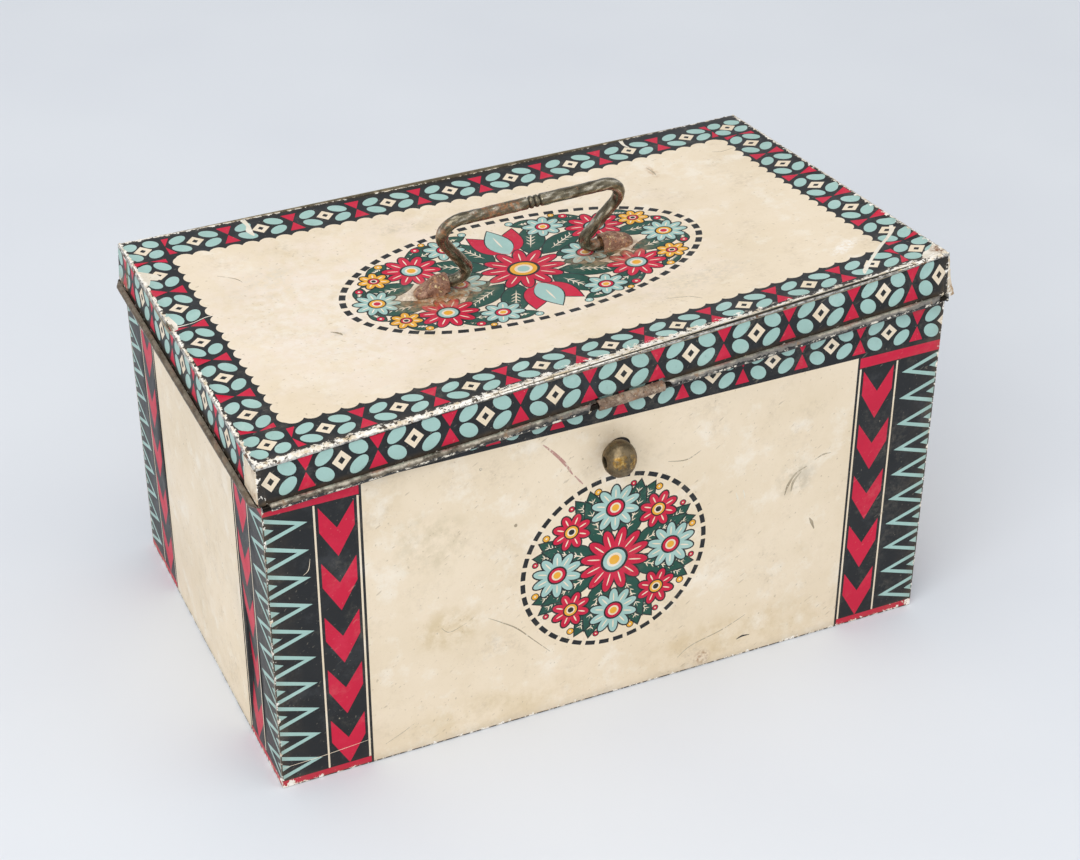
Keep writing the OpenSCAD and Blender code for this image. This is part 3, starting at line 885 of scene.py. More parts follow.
@dataclass
class PrintedSheet:
    """A sheet of tinplate whose print is inlaid in its faces, so that its outlines stay crisp."""

    name: str
    body: str
    layout: Layout
    outline: list[Point]
    place: Callable[[float, float], Point3]
    wear: Callable[[float, float], Point3]
    spots: list[Point]
    thickness: float
    holes: list[list[Point]] = field(default_factory=list)

    def build(self, finishes: dict[Ink, Material], inside: Material) -> Piece:
        """Builds the sheet's mesh and dresses it.

        Args:
            finishes: Materials by ink.
            inside: Material of its back and its cut edges.

        Returns:
            The finished object.
        """
        points: list[Vector] = []
        rings: list[list[int]] = []
        shapes = [self.outline] + self.holes + [outline for _, outline in self.layout.patches]
        for shape in shapes:
            area = sum(a[0] * b[1] - b[0] * a[1] for a, b in zip(shape, shape[1:] + shape[:1]))
            ordered = shape if area > 0 else shape[::-1]
            rings.append(list(range(len(points), len(points) + len(ordered))))
            points.extend(Vector(p) for p in ordered)
        points.extend(Vector(p) for p in self.spots)
        flat, _, faces, _, _, origins = delaunay_2d_cdt(points, [], rings, 0, MERGE, True)
        first = 1 + len(self.holes)
        kept, inks = [], []
        for face, origin in zip(faces, origins):
            if 0 not in origin or any(0 < k < first for k in origin):
                continue
            kept.append(face)
            top = max(origin)
            inks.append(self.layout.patches[top - first][0].value if top >= first else Ink.CREAM.value)
        used = sorted({v for face in kept for v in face})
        order = {v: k for k, v in enumerate(used)}
        mesh = bpy.data.meshes.new(self.name)
        corners = [tuple(c * MM for c in self.place(*flat[v])) for v in used]
        mesh.from_pydata(corners, [], [[order[v] for v in face] for face in kept])
        mesh.polygons.foreach_set("material_index", inks)
        wear = mesh.attributes.new("wear", "FLOAT_VECTOR", "POINT")
        wear.data.foreach_set("vector", [value for v in used for value in self.wear(*flat[v])])
        for ink in Ink:
            mesh.materials.append(finishes[ink])
        mesh.materials.append(inside)
        piece = bpy.data.objects.new(self.name, mesh)
        bpy.context.scene.collection.objects.link(piece)
        select(piece)
        wall = piece.modifiers.new("wall", "SOLIDIFY")
        wall.thickness = self.thickness * MM
        wall.offset = -1
        wall.material_offset = len(Ink)
        wall.material_offset_rim = len(Ink)
        bpy.ops.object.modifier_apply(modifier=wall.name)
        bpy.ops.object.shade_smooth_by_angle(angle=SMOOTH_ANGLE)
        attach(piece, self.body)
        LOG.info("%s: %d faces", self.name, len(piece.data.polygons))
        return piece


def select(piece: Piece) -> None:
    """Selects one object alone and makes it active."""
    bpy.ops.object.select_all(action="DESELECT")
    piece.select_set(True)
    bpy.context.view_layer.objects.active = piece


def grid(low: Point, high: Point, step: float) -> list[Point]:
    """Even points inside a rectangle.

    Args:
        low: Its lower corner.
        high: Its upper corner.
        step: Spacing of the points.

    Returns:
        The points.
    """
    across = max(2, round((high[0] - low[0]) / step))
    up = max(2, round((high[1] - low[1]) / step))
    return [(low[0] + (high[0] - low[0]) * i / across, low[1] + (high[1] - low[1]) * j / up)
            for i in range(1, across) for j in range(1, up)]


def bell(distance: float, width: float) -> float:
    """A smooth bump that falls off with distance."""
    return math.exp(-(distance / width) ** 2)


@dataclass(frozen=True)
class Dent:
    """A dent in a sheet: where it is, its half widths and its depth."""

    middle: Point
    half: Point
    depth: float

    def at(self, u: float, v: float) -> float:
        """Depth of the dent at a point."""
        across = (u - self.middle[0]) / self.half[0]
        up = (v - self.middle[1]) / self.half[1]
        return self.depth * bell(math.hypot(across, up), 1)


@dataclass
class BodySheets:
    """The four walls of the body, with their hems and lapped flanges."""

    finishes: dict[Ink, Material]
    inside: Material
    step: float = 7.0
    waviness: float = 0.22
    knob: Point = (-0.25, 135.2)
    knob_hole: Point = (5.5, 5.0)
    medallion: Point = (-1.0, 75.6)
    medallion_radius: float = 44.5
    band_foot: float = 150.2
    row_level: float = 160.1
    left_dents: tuple[Dent, ...] = (
        Dent((52, 44), (22, 30), -2.4), Dent((20, 120), (60, 40), -0.7), Dent((-40, 60), (40, 50), 0.6),
    )

    def build(self) -> None:
        """Builds the four walls."""
        half_w, half_d = TIN.width / 2, TIN.depth / 2
        end_half = half_d - TIN.sheet
        self.wall("front_sheet", "front_panel", half_w, lambda u, v, n: (u, -half_d - n, v), True)
        self.wall("back_sheet", "back_panel", half_w, lambda u, v, n: (-u, half_d + n, v))
        self.wall("left_end_sheet", "left_end_panel", end_half, lambda u, v, n: (-half_w - n, -u, v),
                  dents=self.left_dents)
        self.wall("right_end_sheet", "right_end_panel", end_half, lambda u, v, n: (half_w + n, u, v))

    def wall(self, name: str, node: str, half: float, face: Face, front: bool = False,
             dents: tuple[Dent, ...] = ()) -> None:
        """Builds one wall with its print.

        Args:
            name: Name of the piece.
            node: The part's node that it stands for.
            half: Half of its width.
            face: Turns width, height and outward offset to a place.
            front: Whether it is the front, with the knob's hole and the medallion.
            dents: Its dents.
        """
        layout = Layout()
        top = TIN.height
        layout.block(Ink.CHARCOAL, (-half - 1, self.band_foot), (half + 1, top + 1))
        layout.row((0.0, self.row_level), BODY_ROW, Run.ACROSS, 6, 0.5)
        layout.post(-half, 1)
        layout.post(half, -1)
        # A charcoal line along the foot: partly the dark folded bottom seam, partly a painted contact shadow
        # where the box meets the floor
        layout.block(Ink.CHARCOAL, (-half - 1, -1), (half + 1, 0.5))
        holes = []
        if front:
            self.medallion_print(layout)
            self.front_scratches(layout)
            holes = [turned(ellipse_points(self.knob_hole, 32), self.knob, 0)]

        def rim(u: float, v: float) -> float:
            """Distance to the nearest edge."""
            return min(half - abs(u), v, top - v)

        def relief(u: float, v: float) -> float:
            """Outward offset of the uneven sheet."""
            free = min(1.0, max(0.0, rim(u, v) - 6.0) / 14)
            wave = math.sin(u / 31 + 0.6) * math.sin(v / 27 + 1.1) + 0.6 * math.sin(u / 17 + v / 23)
            return free * (self.waviness * wave + sum(dent.at(u, v) for dent in dents))

        def wear(u: float, v: float) -> Point3:
            """Distance to the nearest edge, share of bared primer there, and dust at the foot and corners."""
            dust = 0.08 * bell(v, 4) + 0.12 * bell(half - abs(u), 2.5)
            return 1.6 * rim(u, v) + 0.2, 0.05 + 0.3 * bell(v, 3), dust

        outline = [(-half, 0.0), (half, 0.0), (half, top), (-half, top)]
        sheet = PrintedSheet(name, "box", layout, outline, lambda u, v: face(u, v, relief(u, v)), wear,
                             grid((-half, 0), (half, top), self.step), TIN.sheet, holes)
        piece = sheet.build(self.finishes, self.inside)
        self.folds(piece, half, face)
        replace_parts(piece, node)

    def folds(self, piece: Piece, half: float, face: Face) -> None:
        """Adds the hem inside the top of a wall and, on the ends, the flanges behind its corners.

        Args:
            piece: The wall.
            half: Half of its width.
            face: Turns width, height and outward offset to a place.
        """
        end = half < TIN.depth / 2
        gap = TIN.sheet if end else TIN.lap + TIN.seam
        brim = TIN.height - 0.05
        hem = (-TIN.sheet - 0.02, -2 * TIN.sheet)
        parts = [self.fold(face, (gap - half, half - gap), (TIN.height - TIN.hem, brim), hem)]
        if end:
            for edge in (-half, half):
                inner = edge - math.copysign(TIN.sheet, edge)
                behind = (-TIN.sheet, -TIN.lap)
                parts.append(self.fold(face, (edge, inner), (TIN.tray + TIN.seam, brim), behind))
        select(piece)
        for part in parts:
            part.select_set(True)
        bpy.ops.object.join()

    def fold(self, face: Face, across: Point, up: Point, behind: Point) -> Piece:
        """Models a flat fold of the sheet behind a wall, with rounded edges and the inside's finish.

        Args:
            face: Turns width, height and outward offset to a place.
            across: Its two ends along the wall.
            up: Its lower and upper end.
            behind: Outward offsets of its two faces.

        Returns:
            The fold.
        """
        bpy.ops.object.select_all(action="DESELECT")
        bpy.ops.mesh.primitive_cube_add(size=2)
        part = bpy.context.active_object
        for vertex in part.data.vertices:
            u, n, v = (ends[1 if c > 0 else 0] for ends, c in zip((across, behind, up), vertex.co))
            vertex.co = Vector(face(u, v, n)) * MM
        select(part)
        bpy.ops.object.mode_set(mode="EDIT")
        bpy.ops.mesh.select_all(action="SELECT")
        bpy.ops.mesh.normals_make_consistent(inside=False)
        bpy.ops.mesh.bevel(offset=0.12 * MM, segments=2, affect="EDGES")
        bpy.ops.object.mode_set(mode="OBJECT")
        part.data.materials.append(self.inside)
        return part

    def medallion_print(self, layout: Layout) -> None:
        """Draws the dashed circle on the front, filled with a plain rosette of daisies and leaves."""
        middle = self.medallion
        layout.dashes(middle, (self.medallion_radius, self.medallion_radius), 40, 2.3, 0.74)
        for angle in (45 * k + 22.5 for k in range(8)):
            for turn in (-11, 11):
                layout.leaf(polar(middle, 22, angle), 19.5, 9.5, angle + turn)
            layout.leaf(polar(middle, 8, angle), 30, 11, angle)
        for angle in range(0, 360, 45):
            layout.berry(polar(middle, 39.5, angle + 12.5), 1.5, Ink.YELLOW)
            layout.berry(polar(middle, 39.5, angle - 12.5), 1.2, Ink.CRIMSON)
        for angle in range(0, 360, 90):
            layout.daisy(polar(middle, 28, angle), 12.0, 10, (Ink.TEAL, Ink.CRIMSON, Ink.YELLOW))
        for angle in range(45, 360, 90):
            layout.daisy(polar(middle, 30, angle), 9.4, 8, (Ink.CRIMSON, Ink.YELLOW, Ink.CHARCOAL))
        layout.daisy(middle, 17.0, 12, (Ink.CRIMSON, Ink.TEAL, Ink.YELLOW))

    def front_scratches(self, layout: Layout) -> None:
        """Draws the scratches and rubbed lines that show on the front."""
        layout.strokes((
            (Ink.MADDER, [(-36, 146), (-31, 140.5), (-26, 134), (-22, 127)], [0.5, 1.3, 1.5, 0.5]),
            (Ink.MADDER, [(-21, 126), (-18.5, 122.6), (-17, 120.6)], [0.5, 0.8, 0.3]),
            (Ink.SCUFF, [(-62, 62.4), (-55, 57.5), (-48, 52), (-40, 43), (-32, 34)],
             [0.1, 0.5, 0.7, 0.4, 0.2]),
            (Ink.SCUFF, [(95, 99), (89.5, 96.4), (85.8, 91), (84.4, 86)], [0.4, 1.0, 1.4, 0.3]),
            (Ink.SCUFF, [(92.4, 97), (88.6, 92.4), (87.6, 87)], [0.3, 1.5, 0.3]),
            (Ink.SCUFF, [(99, 101.4), (103, 103), (107.4, 103)], [0.2, 0.9, 0.2]),
            (Ink.SCUFF, [(98.6, 69.4), (100, 66.6), (101.6, 62.4)], [0.3, 1.6, 0.4]),
            (Ink.SCUFF, [(33, 9), (40, 14), (56, 18), (68, 23)], [0.2, 0.5, 0.5, 0.2]),
            (Ink.SCUFF, [(-84, 64), (-80, 60.4), (-72, 63)], [0.1, 0.35, 0.1]),
            (Ink.SCUFF, [(-112, 8), (-104, 11.6), (-98, 15)], [0.1, 0.3, 0.1]),
            (Ink.SCUFF, [(24, 121), (33, 119.5), (40, 122.5)], [0.2, 0.6, 0.2]),
            (Ink.CHARCOAL, [(64, 9.6), (67, 10.6), (71, 10.2)], [0.3, 1.1, 0.2]),
            (Ink.PRIMER, [(59, 94.6), (60, 91.6), (60.6, 89.4)], [0.3, 0.8, 0.2]),
            (Ink.PRIMER, [(62.6, 95), (63.4, 92.4), (63.6, 90)], [0.3, 0.7, 0.2]),
            (Ink.CREAM, [(-144.4, 111), (-142, 113), (-141, 118.4)], [0.1, 0.35, 0.1]),
            (Ink.CREAM, [(-159.4, 11.2), (-140, 11.8), (-118.4, 13.4)], [0.2, 0.3, 0.15]),
        ))
        layout.ellipse(Ink.SCUFF, (-48.8, 108.4), (0.8, 0.9), 0, 10)
        layout.ellipse(Ink.SCUFF, (-64.6, 141.6), (0.7, 0.8), 0, 10)


@dataclass
class LidSheet:
    """The lid's bent top sheet, with its raised edge and the fold over the skirts."""

    finishes: dict[Ink, Material]
    inside: Material
    sheet: float = 0.45
    roll: float = 0.6
    flap: float = 1.7
    ridge: float = 0.75
    ridge_in: float = 1.3
    ridge_width: float = 1.0
    back_width: float = 8.0
    back_drop: float = 0.35
    waviness: float = 0.2
    step: float = 5.0
    row_ends: dict[int, float] = field(default_factory=lambda: {-1: -152.4, 1: 150.6})
    row_level: float = 88.4
    row_back: float = 2.3
    panel: Point = (140.05, 76.5)
    panel_middle: Point = (-0.45, 0.0)
    oval: Point = (85.6, 49.5)
    corner_tips: Point = (141.8, 77.6)
    corner_from: float = 90.0
    corner_run: float = 60.0
    corner_draw: float = 1.2
    back_from: float = -20.0
    back_run: float = 170.0
    insets: tuple[float, ...] = (0.0, 0.5, 1.0, 1.6, 2.3, 3.2, 4.4, -0.31, -0.63, -0.94, -1.3)
    kink: Dent = Dent((-161.0, 19.0), (12.0, 4.5), -1.9)
    dents: tuple[Dent, ...] = (
        Dent((-120, 42), (9, 15), -0.55), Dent((-104, -38), (16, 9), 0.5), Dent((-70, -60), (20, 12), -0.5),
        Dent((20, -62), (26, 10), 0.45), Dent((100, 48), (12, 20), -0.5), Dent((118, -20), (14, 22), 0.5),
        Dent((-124, -8), (10, 14), 0.4), Dent((60, 66), (24, 8), -0.4), Dent((-60, 66), (18, 9), 0.4),
    )

    def build(self) -> None:
        """Builds the lid's top and its print."""
        front, back, flap = TIN.lid_front, TIN.lid_back, self.flap
        front_left, front_right = TIN.lid_end(-1, front), TIN.lid_end(1, front)
        back_left, back_right = TIN.lid_end(-1, back), TIN.lid_end(1, back)
        outline = [(front_left, front), (front_left, front - flap), (front_right, front - flap),
                   (front_right, front), (front_right + flap, front), (back_right + flap, back),
                   (back_right, back), (back_right, back + flap), (back_left, back + flap),
                   (back_left, back), (back_left - flap, back), (front_left - flap, front)]
        whole = grid((-TIN.lid_half, front), (TIN.lid_half, back), self.step)
        spots = [spot for spot in whole if self.edge(*spot) > self.step]
        steps = 64
        for inset in self.insets:
            keep = max(inset, 0.0) + 0.3
            for k in range(steps + 1):
                y = front + keep + (back - front - 2 * keep) * k / steps
                spots += [(TIN.lid_end(-1, y) + inset, y), (TIN.lid_end(1, y) - inset, y)]
                for level, y in ((front, front + inset), (back, back - inset)):
                    low, high = TIN.lid_end(-1, level) + keep, TIN.lid_end(1, level) - keep
                    spots.append((low + (high - low) * k / steps, y))
        sheet = PrintedSheet("lid_sheet", "lid", self.lid_print(), outline, self.place, self.wear,
                             spots, self.sheet)
        piece = sheet.build(self.finishes, self.inside)
        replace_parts(piece, "lid_top")

    def edge(self, x: float, y: float) -> float:
        """Distance inside the lid's top edge, 0 on the fold."""
        level = min(max(y, TIN.lid_front), TIN.lid_back)
        across = min(x - TIN.lid_end(-1, level), TIN.lid_end(1, level) - x)
        return max(0.0, min(across, y - TIN.lid_front, TIN.lid_back - y))

    def wear(self, x: float, y: float) -> Point3:
        """Distance inside the edge, share of bared primer at the nearest edge, and dust along it."""
        # Each edge's distance, drawn out where less of the print is worn, and its share of primer
        sides = ((y - TIN.lid_front, 1.1 + 1.6 * bell(x - 20, 65)),
                 (2.4 * (TIN.lid_back - y), 0.6 + 0.9 * bell(x + 140, 75)),
                 (3.4 * (x - TIN.lid_end(-1, y)), 1.3),
                 (2.6 * (TIN.lid_end(1, y) - x), 1.3))
        inside, primer = min(sides)
        return inside, primer, 0.15 * bell(inside, 3)

    def fold(self, out: float) -> Point:
        """Goes round the fold at the edge.

        Args:
            out: Length of sheet beyond the edge.

        Returns:
            How far it goes outwards and down.
        """
        quarter = self.roll * math.pi / 2
        if out < quarter:
            return self.roll * math.sin(out / self.roll), self.roll * (1 - math.cos(out / self.roll))
        return self.roll, self.roll + out - quarter

    def place(self, u: float, v: float) -> Point3:
        """Puts a point of the flat sheet on the bent lid.

        Args:
            u: Place along the box on the flat sheet.
            v: Place from front to back on the flat sheet.

        Returns:
            The point's place.
        """
        y = min(max(v, TIN.lid_front), TIN.lid_back)
        x = min(max(u, TIN.lid_end(-1, y)), TIN.lid_end(1, y))
        out_x, down_x = self.fold(abs(u - x))
        out_y, down_y = self.fold(abs(v - y))
        inside = self.edge(x, y)
        free = min(1.0, max(0.0, inside - 4.0) / 16)
        wave = math.sin(x / 37 + 0.4) * math.sin(y / 29 + 2.0) + 0.6 * math.sin(x / 19 - y / 25)
        back = bell(TIN.lid_back - y, self.back_width)
        lift = self.ridge * (1 - back) * bell(inside - self.ridge_in, self.ridge_width)
        lift += self.waviness * free * wave
        lift -= self.back_drop * back * (1 - (x / TIN.lid_half) ** 2)
        lift += self.kink.at(x, y) + TIN.lid_lift(x, y) + sum(dent.at(x, y) for dent in self.dents)
        z = TIN.lid_height(x, y) + lift - max(down_x, down_y)
        return x + math.copysign(out_x, u), y + math.copysign(out_y, v), z

    def lid_print(self) -> Layout:
        """Draws the border, the scalloped field and the oval.

        Returns:
            The lid's layout.
        """
        layout = Layout()
        far, deep = TIN.lid_half + 4, TIN.lid_depth / 2 + 5
        layout.block(Ink.CHARCOAL, (-far, -deep), (far, deep))
        for side in (-1, 1):
            for k in range(-4, 5):
                layout.rosette((k * LID_ROW.pitch, side * self.row_level), LID_ROW, Run.ACROSS)
                if k < 4:
                    layout.hourglass(((k + 0.5) * LID_ROW.pitch, side * self.row_level), LID_ROW, Run.ACROSS)
            for k in range(-2, 3):
                layout.rosette((self.row_ends[side], k * LID_ROW.pitch), LID_ROW, Run.UP)
                if k < 2:
                    layout.hourglass((self.row_ends[side], (k + 0.5) * LID_ROW.pitch), LID_ROW, Run.UP)
            for end in (-1, 1):
                layout.rosette((self.row_ends[side], end * self.row_level), LID_CORNER, Run.ACROSS)
                layout.hourglass((side * self.corner_tips[0], end * self.row_level), LID_CORNER,
                                 Run.ACROSS, (0, -side))
                layout.hourglass((self.row_ends[side], end * self.corner_tips[1]), LID_CORNER,
                                 Run.UP, (0, -end))
        layout.scallops(Ink.CREAM, self.panel, (35, 19), 2.3, self.panel_middle)
        layout.move(self.follow_corner)
        layout.dashes((0, 1), self.oval, 60, 3.0, 0.68)
        self.oval_print(layout)
        self.worn_places(layout)
        return layout

    def follow_corner(self, x: float, y: float) -> Point:
        """Draws the border in at the bent corner, where the sheet is narrower, and off the back edge."""
        forward = TIN.forward(y)
        share = min(1.0, max(0.0, x - self.corner_from) / self.corner_run)
        drawn = self.row_back * max(0.0, (x - self.back_from) / self.back_run) * (1 - forward)
        return x - self.corner_draw * (share * forward) ** 2, y - drawn

    def oval_print(self, layout: Layout) -> None:
        """Draws a plain symmetric garland of daisies, leaves and berries inside the oval."""
        # A quarter's leaves by foot, length, width and direction, and its flowers by middle and size
        leaves = (
            (55, 32, 15, 7, -34), (73, 16.5, 12, 5.5, -68), (29, 40, 16, 7.5, -20), (12, 41.5, 16, 7, -6),
            (50, 10, 28, 12, -6), (50, 26, 24, 10, -22), (14, 9, 30, 13, 30), (9, 12, 30, 13, 66),
            (44, 30, 27, 10.5, 160), (18, 4, 27, 11, 7),
        )
        daisies = (
            (46, 22, 13.5, 10, (Ink.CRIMSON, Ink.TEAL, Ink.YELLOW)),
            (25, 34, 9.6, 8, (Ink.TEAL, Ink.CRIMSON, Ink.YELLOW)),
            (65, 20, 7.2, 7, (Ink.YELLOW, Ink.CRIMSON, Ink.CHARCOAL)),
        )
        berries = (
            (37.5, 39, 2.0, Ink.CRIMSON), (33, 42.6, 1.4, Ink.YELLOW), (58.5, 31.4, 1.8, Ink.YELLOW),
            (74.5, 13.5, 1.7, Ink.CRIMSON), (12, 44, 1.7, Ink.TEAL),
        )
        for sx, sy in ((-1, -1), (-1, 1), (1, -1), (1, 1)):
            for x, y, length, width, angle in leaves:
                turn = sy * (angle if sx > 0 else 180 - angle)
                layout.leaf((sx * x, 1 + sy * y), length, width, turn)
            for x, y, radius, petals, inks in daisies:
                layout.daisy((sx * x, 1 + sy * y), radius, petals, inks)
            for x, y, radius, ink in berries:
                layout.berry((sx * x, 1 + sy * y), radius, ink)
        for side in (-1, 1):
            layout.tulip((0, 1 + side * 16), 26, side * 90)
            layout.daisy((side * 71, 1), 10.6, 10, (Ink.TEAL, Ink.YELLOW, Ink.CRIMSON))
            layout.daisy((side * 31, 1), 11.5, 9, (Ink.TEAL, Ink.CRIMSON, Ink.YELLOW))
        layout.daisy((0, 1), 19.0, 12, (Ink.CRIMSON, Ink.YELLOW, Ink.TEAL))

    def worn_places(self, layout: Layout) -> None:
        """Draws the deep scratches and chips that show on the lid's border."""
        layout.strokes((
            (Ink.PRIMER, [(119.6, -95), (121.9, -91.5), (129.3, -84.5), (138.3, -76.5), (146.3, -70.5),
                          (151, -66), (153.6, -61.4)], [0.6, 2.2, 1.5, 1.8, 1.5, 2.2, 1.6]),
            (Ink.PRIMER, [(-101, 99), (-100.4, 93), (-101.4, 88), (-100.6, 83)], [2.6, 1.8, 3.2, 0.7]),
            (Ink.PRIMER, [(97, 99), (96.4, 94), (97.4, 90)], [2.2, 1.4, 0.5]),
        ))
        layout.shape(Ink.PRIMER, [(146.5, -101), (147.4, -96.4), (150, -93.6), (153.4, -92.8),
                                  (156, -90.6), (160, -88), (160, -101)])
        layout.shape(Ink.PRIMER, [(-160, 70), (-156.4, 68), (-152.4, 64.6), (-151.4, 61.4),
                                  (-154, 59.6), (-156.8, 61), (-158.6, 56), (-161, 54)])
        layout.strokes((
            (Ink.PRIMER, [(-159.5, 26), (-158.4, 21), (-158.8, 17), (-160, 13)], [1.2, 3.4, 2.6, 0.8]),
            (Ink.PRIMER, [(-158, 19.4), (-150, 18.8), (-143, 20.6), (-136, 20)], [0.8, 0.4, 0.5, 0.1]),
            (Ink.SCUFF, [(-128, 54), (-121, 49), (-119, 45)], [0.2, 0.6, 0.2]),
            (Ink.SCUFF, [(-98.4, -14), (-95.4, -16.6), (-94.6, -19)], [0.3, 1.6, 0.3]),
            (Ink.SCUFF, [(40, -62), (49, -66), (53, -71)], [0.2, 0.5, 0.2]),
            (Ink.SCUFF, [(94.6, 66), (95.4, 60), (95, 55)], [0.2, 1.0, 0.2]),
            (Ink.SCUFF, [(130, 64), (134, 61.6), (141, 62)], [0.2, 0.5, 0.2]),
        ))


@dataclass
class SkirtSheets:
    """The lid's four skirts: printed, with tabs round the corners and rims rolled outwards round wires."""

    finishes: dict[Ink, Material]
    rim: Material
    wire: float = 1.3
    turn: float = 300.0
    turn_step: float = 20.0
    top: float = -0.45
    row_level: float = -8.7
    tab: float = 16.0
    tab_taper: float = 1.5
    tab_top: float = -1.7
    tab_slope: float = 0.25
    tab_foot: float = -17.6
    long_tab_foot: float = -19.15
    tab_drop: float = 0.2
    tab_drop_from: float = -10.0
    notch_top: float = -16.75
    roll_gap: float = 1.2
    end_ground: Point = (2.9, 2.0)
    ground_gap: float = 1.6
    rim_top: float = -19.4
    dust_top: float = -17.0
    dust_fade: float = 2.4
    dust_most: float = 0.32
    end_trim: float = 4.6
    squeeze_from: float = 110.0
    squeeze: float = 0.0019
    squeeze_left: float = 0.0007
    fold_lean: float = 1.6
    flare: float = 2.0

    def build(self) -> None:
        """Builds the four skirts."""
        self.long_skirt("front_skirt", "lid_front_skirt", -1, [(3.0, 16.1)])
        self.long_skirt("back_skirt", "lid_back_skirt", 1, [(-92.0, 15.6), (92.0, 15.6)])
        self.end_skirt("left_skirt", "lid_left_skirt", -1)
        self.end_skirt("right_skirt", "lid_right_skirt", 1)

    @property
    def foot(self) -> float:
        """Lower end of the flat sheet, rolled length included."""
        return -TIN.wire_drop - self.wire * math.radians(self.turn)

    def section(self, level: float) -> Point3:
        """Follows the sheet down its flat face and round the wire.

        Args:
            level: Height on the flat sheet below the lid's edge.

        Returns:
            How far it stands out, its height, and its share of the skirt's height.
        """
        rolled = max(0.0, -TIN.wire_drop - level)
        angle = rolled / self.wire
        height = -TIN.wire_drop - self.wire * math.sin(angle) if rolled else level
        return self.wire * (1 - math.cos(angle)), height, min(1.0, max(0.0, 1 + height / TIN.wire_drop))

    def dust(self, level: float) -> float:
        """Share of brown dust, which gathers over the rim."""
        return self.dust_most * min(1.0, max(0.0, self.dust_top - level) / self.dust_fade)

    def above_rim(self, level: float) -> float:
        """Distance above the rim, drawn out so that little of the print there is worn."""
        return max(0.2, 1.8 * (level - self.rim_top))

    def spots(self, low: float, high: float) -> list[Point]:
        """Points over the flat face and round the roll.

        Args:
            low: Lower end along the skirt.
            high: Upper end along the skirt.

        Returns:
            The points.
        """
        rounds = int(self.turn / self.turn_step)
        levels = [-TIN.wire_drop - self.wire * math.radians(self.turn_step) * k for k in range(rounds)]
        count = round((high - low) / 5)
        rolled = [(low + (high - low) * k / count, level) for k in range(1, count) for level in levels]
        return grid((low, -TIN.wire_drop), (high, self.top), 4.0) + rolled

    def follow_ends(self, u: float, level: float) -> Point:
        """Draws the front row in at its ends, where the skirt is narrower."""
        past = max(0.0, abs(u) - self.squeeze_from) ** 2
        return u - (self.squeeze if u > 0 else -self.squeeze_left) * past, level

    def long_skirt(self, name: str, node: str, out: int, notches: list[Point]) -> None:
        """Builds the front or back skirt with its two tabs.

        Args:
            name: Name of the piece.
            node: The part's node that it stands for.
            out: Sign of its outward direction.
            notches: Middles and half widths of the notches in its rim.
        """
        front = out < 0
        face = TIN.lid_front if front else TIN.lid_back
        low, high = sorted(-out * TIN.lid_end(side, face) for side in (-1, 1))
        end = TIN.lid_half
        # The tab at the bent corner is bent down over the end of the rim
        foot, last = (self.long_tab_foot, high + 0.3) if front else (self.tab_foot, end)

        def place(u: float, level: float) -> Point3:
            """Puts a point of the flat sheet on the skirt."""
            stand, height, share = self.section(level)
            fold = low if u < low else high
            beyond = abs(u - fold)
            bent = self.fold_lean * (1 - share) if front else 0.0
            past = max(0.0, min(u, high) - self.squeeze_from) / (high - self.squeeze_from)
            if low <= u <= high or level < (self.tab_foot if u < low else foot) - 0.1:
                x, y = -out * u + bent * past ** 2, face + out * stand
                return x, y, TIN.lid_top + TIN.edge_rise(x, face) + height + share * TIN.lid_lift(x, face)
            side = 1 if -out * fold > 0 else -1
            corner = abs(fold) + bent * past
            gap = abs(TIN.lid_end(side, face, share)) + TIN.sheet + 0.05 - corner
            if front and u > high:
                gap += self.flare * bell(level - foot, 4)
            spread = math.hypot(1.0, self.tab_slope)
            slant = min(beyond, gap * spread)
            x = side * (corner + slant / spread)
            y = face - out * (slant * self.tab_slope / spread + beyond - slant)
            sunk = self.tab_drop * max(0.0, self.tab_drop_from - level) if front and u > high else 0.0
            return x, y, TIN.lid_top + TIN.edge_rise(x, y) + level - sunk + share * TIN.lid_lift(x, y)

        def wear(u: float, level: float) -> Point3:
            """Distance to the folds and free edges, share of bared primer, and dust over the rim."""
            if low <= u <= high:
                return min(u - low + 0.5, high - u + 0.5, self.above_rim(level)), 0.15, self.dust(level)
            beyond = low - u if u < low else u - high
            free = level - (self.tab_foot if u < low else foot)
            inside = min(beyond, self.tab - beyond, self.tab_top - level, free)
            return inside + 0.6, 0.35 if front else 0.1, 0.7 * bell(free, 4)

        layout = Layout()
        layout.block(Ink.CHARCOAL, (-end - 20, self.foot - 1), (end + 20, 1))
        layout.row((0, self.row_level), SKIRT_ROW, Run.ACROSS, 5)
        if front:
            layout.move(self.follow_ends)
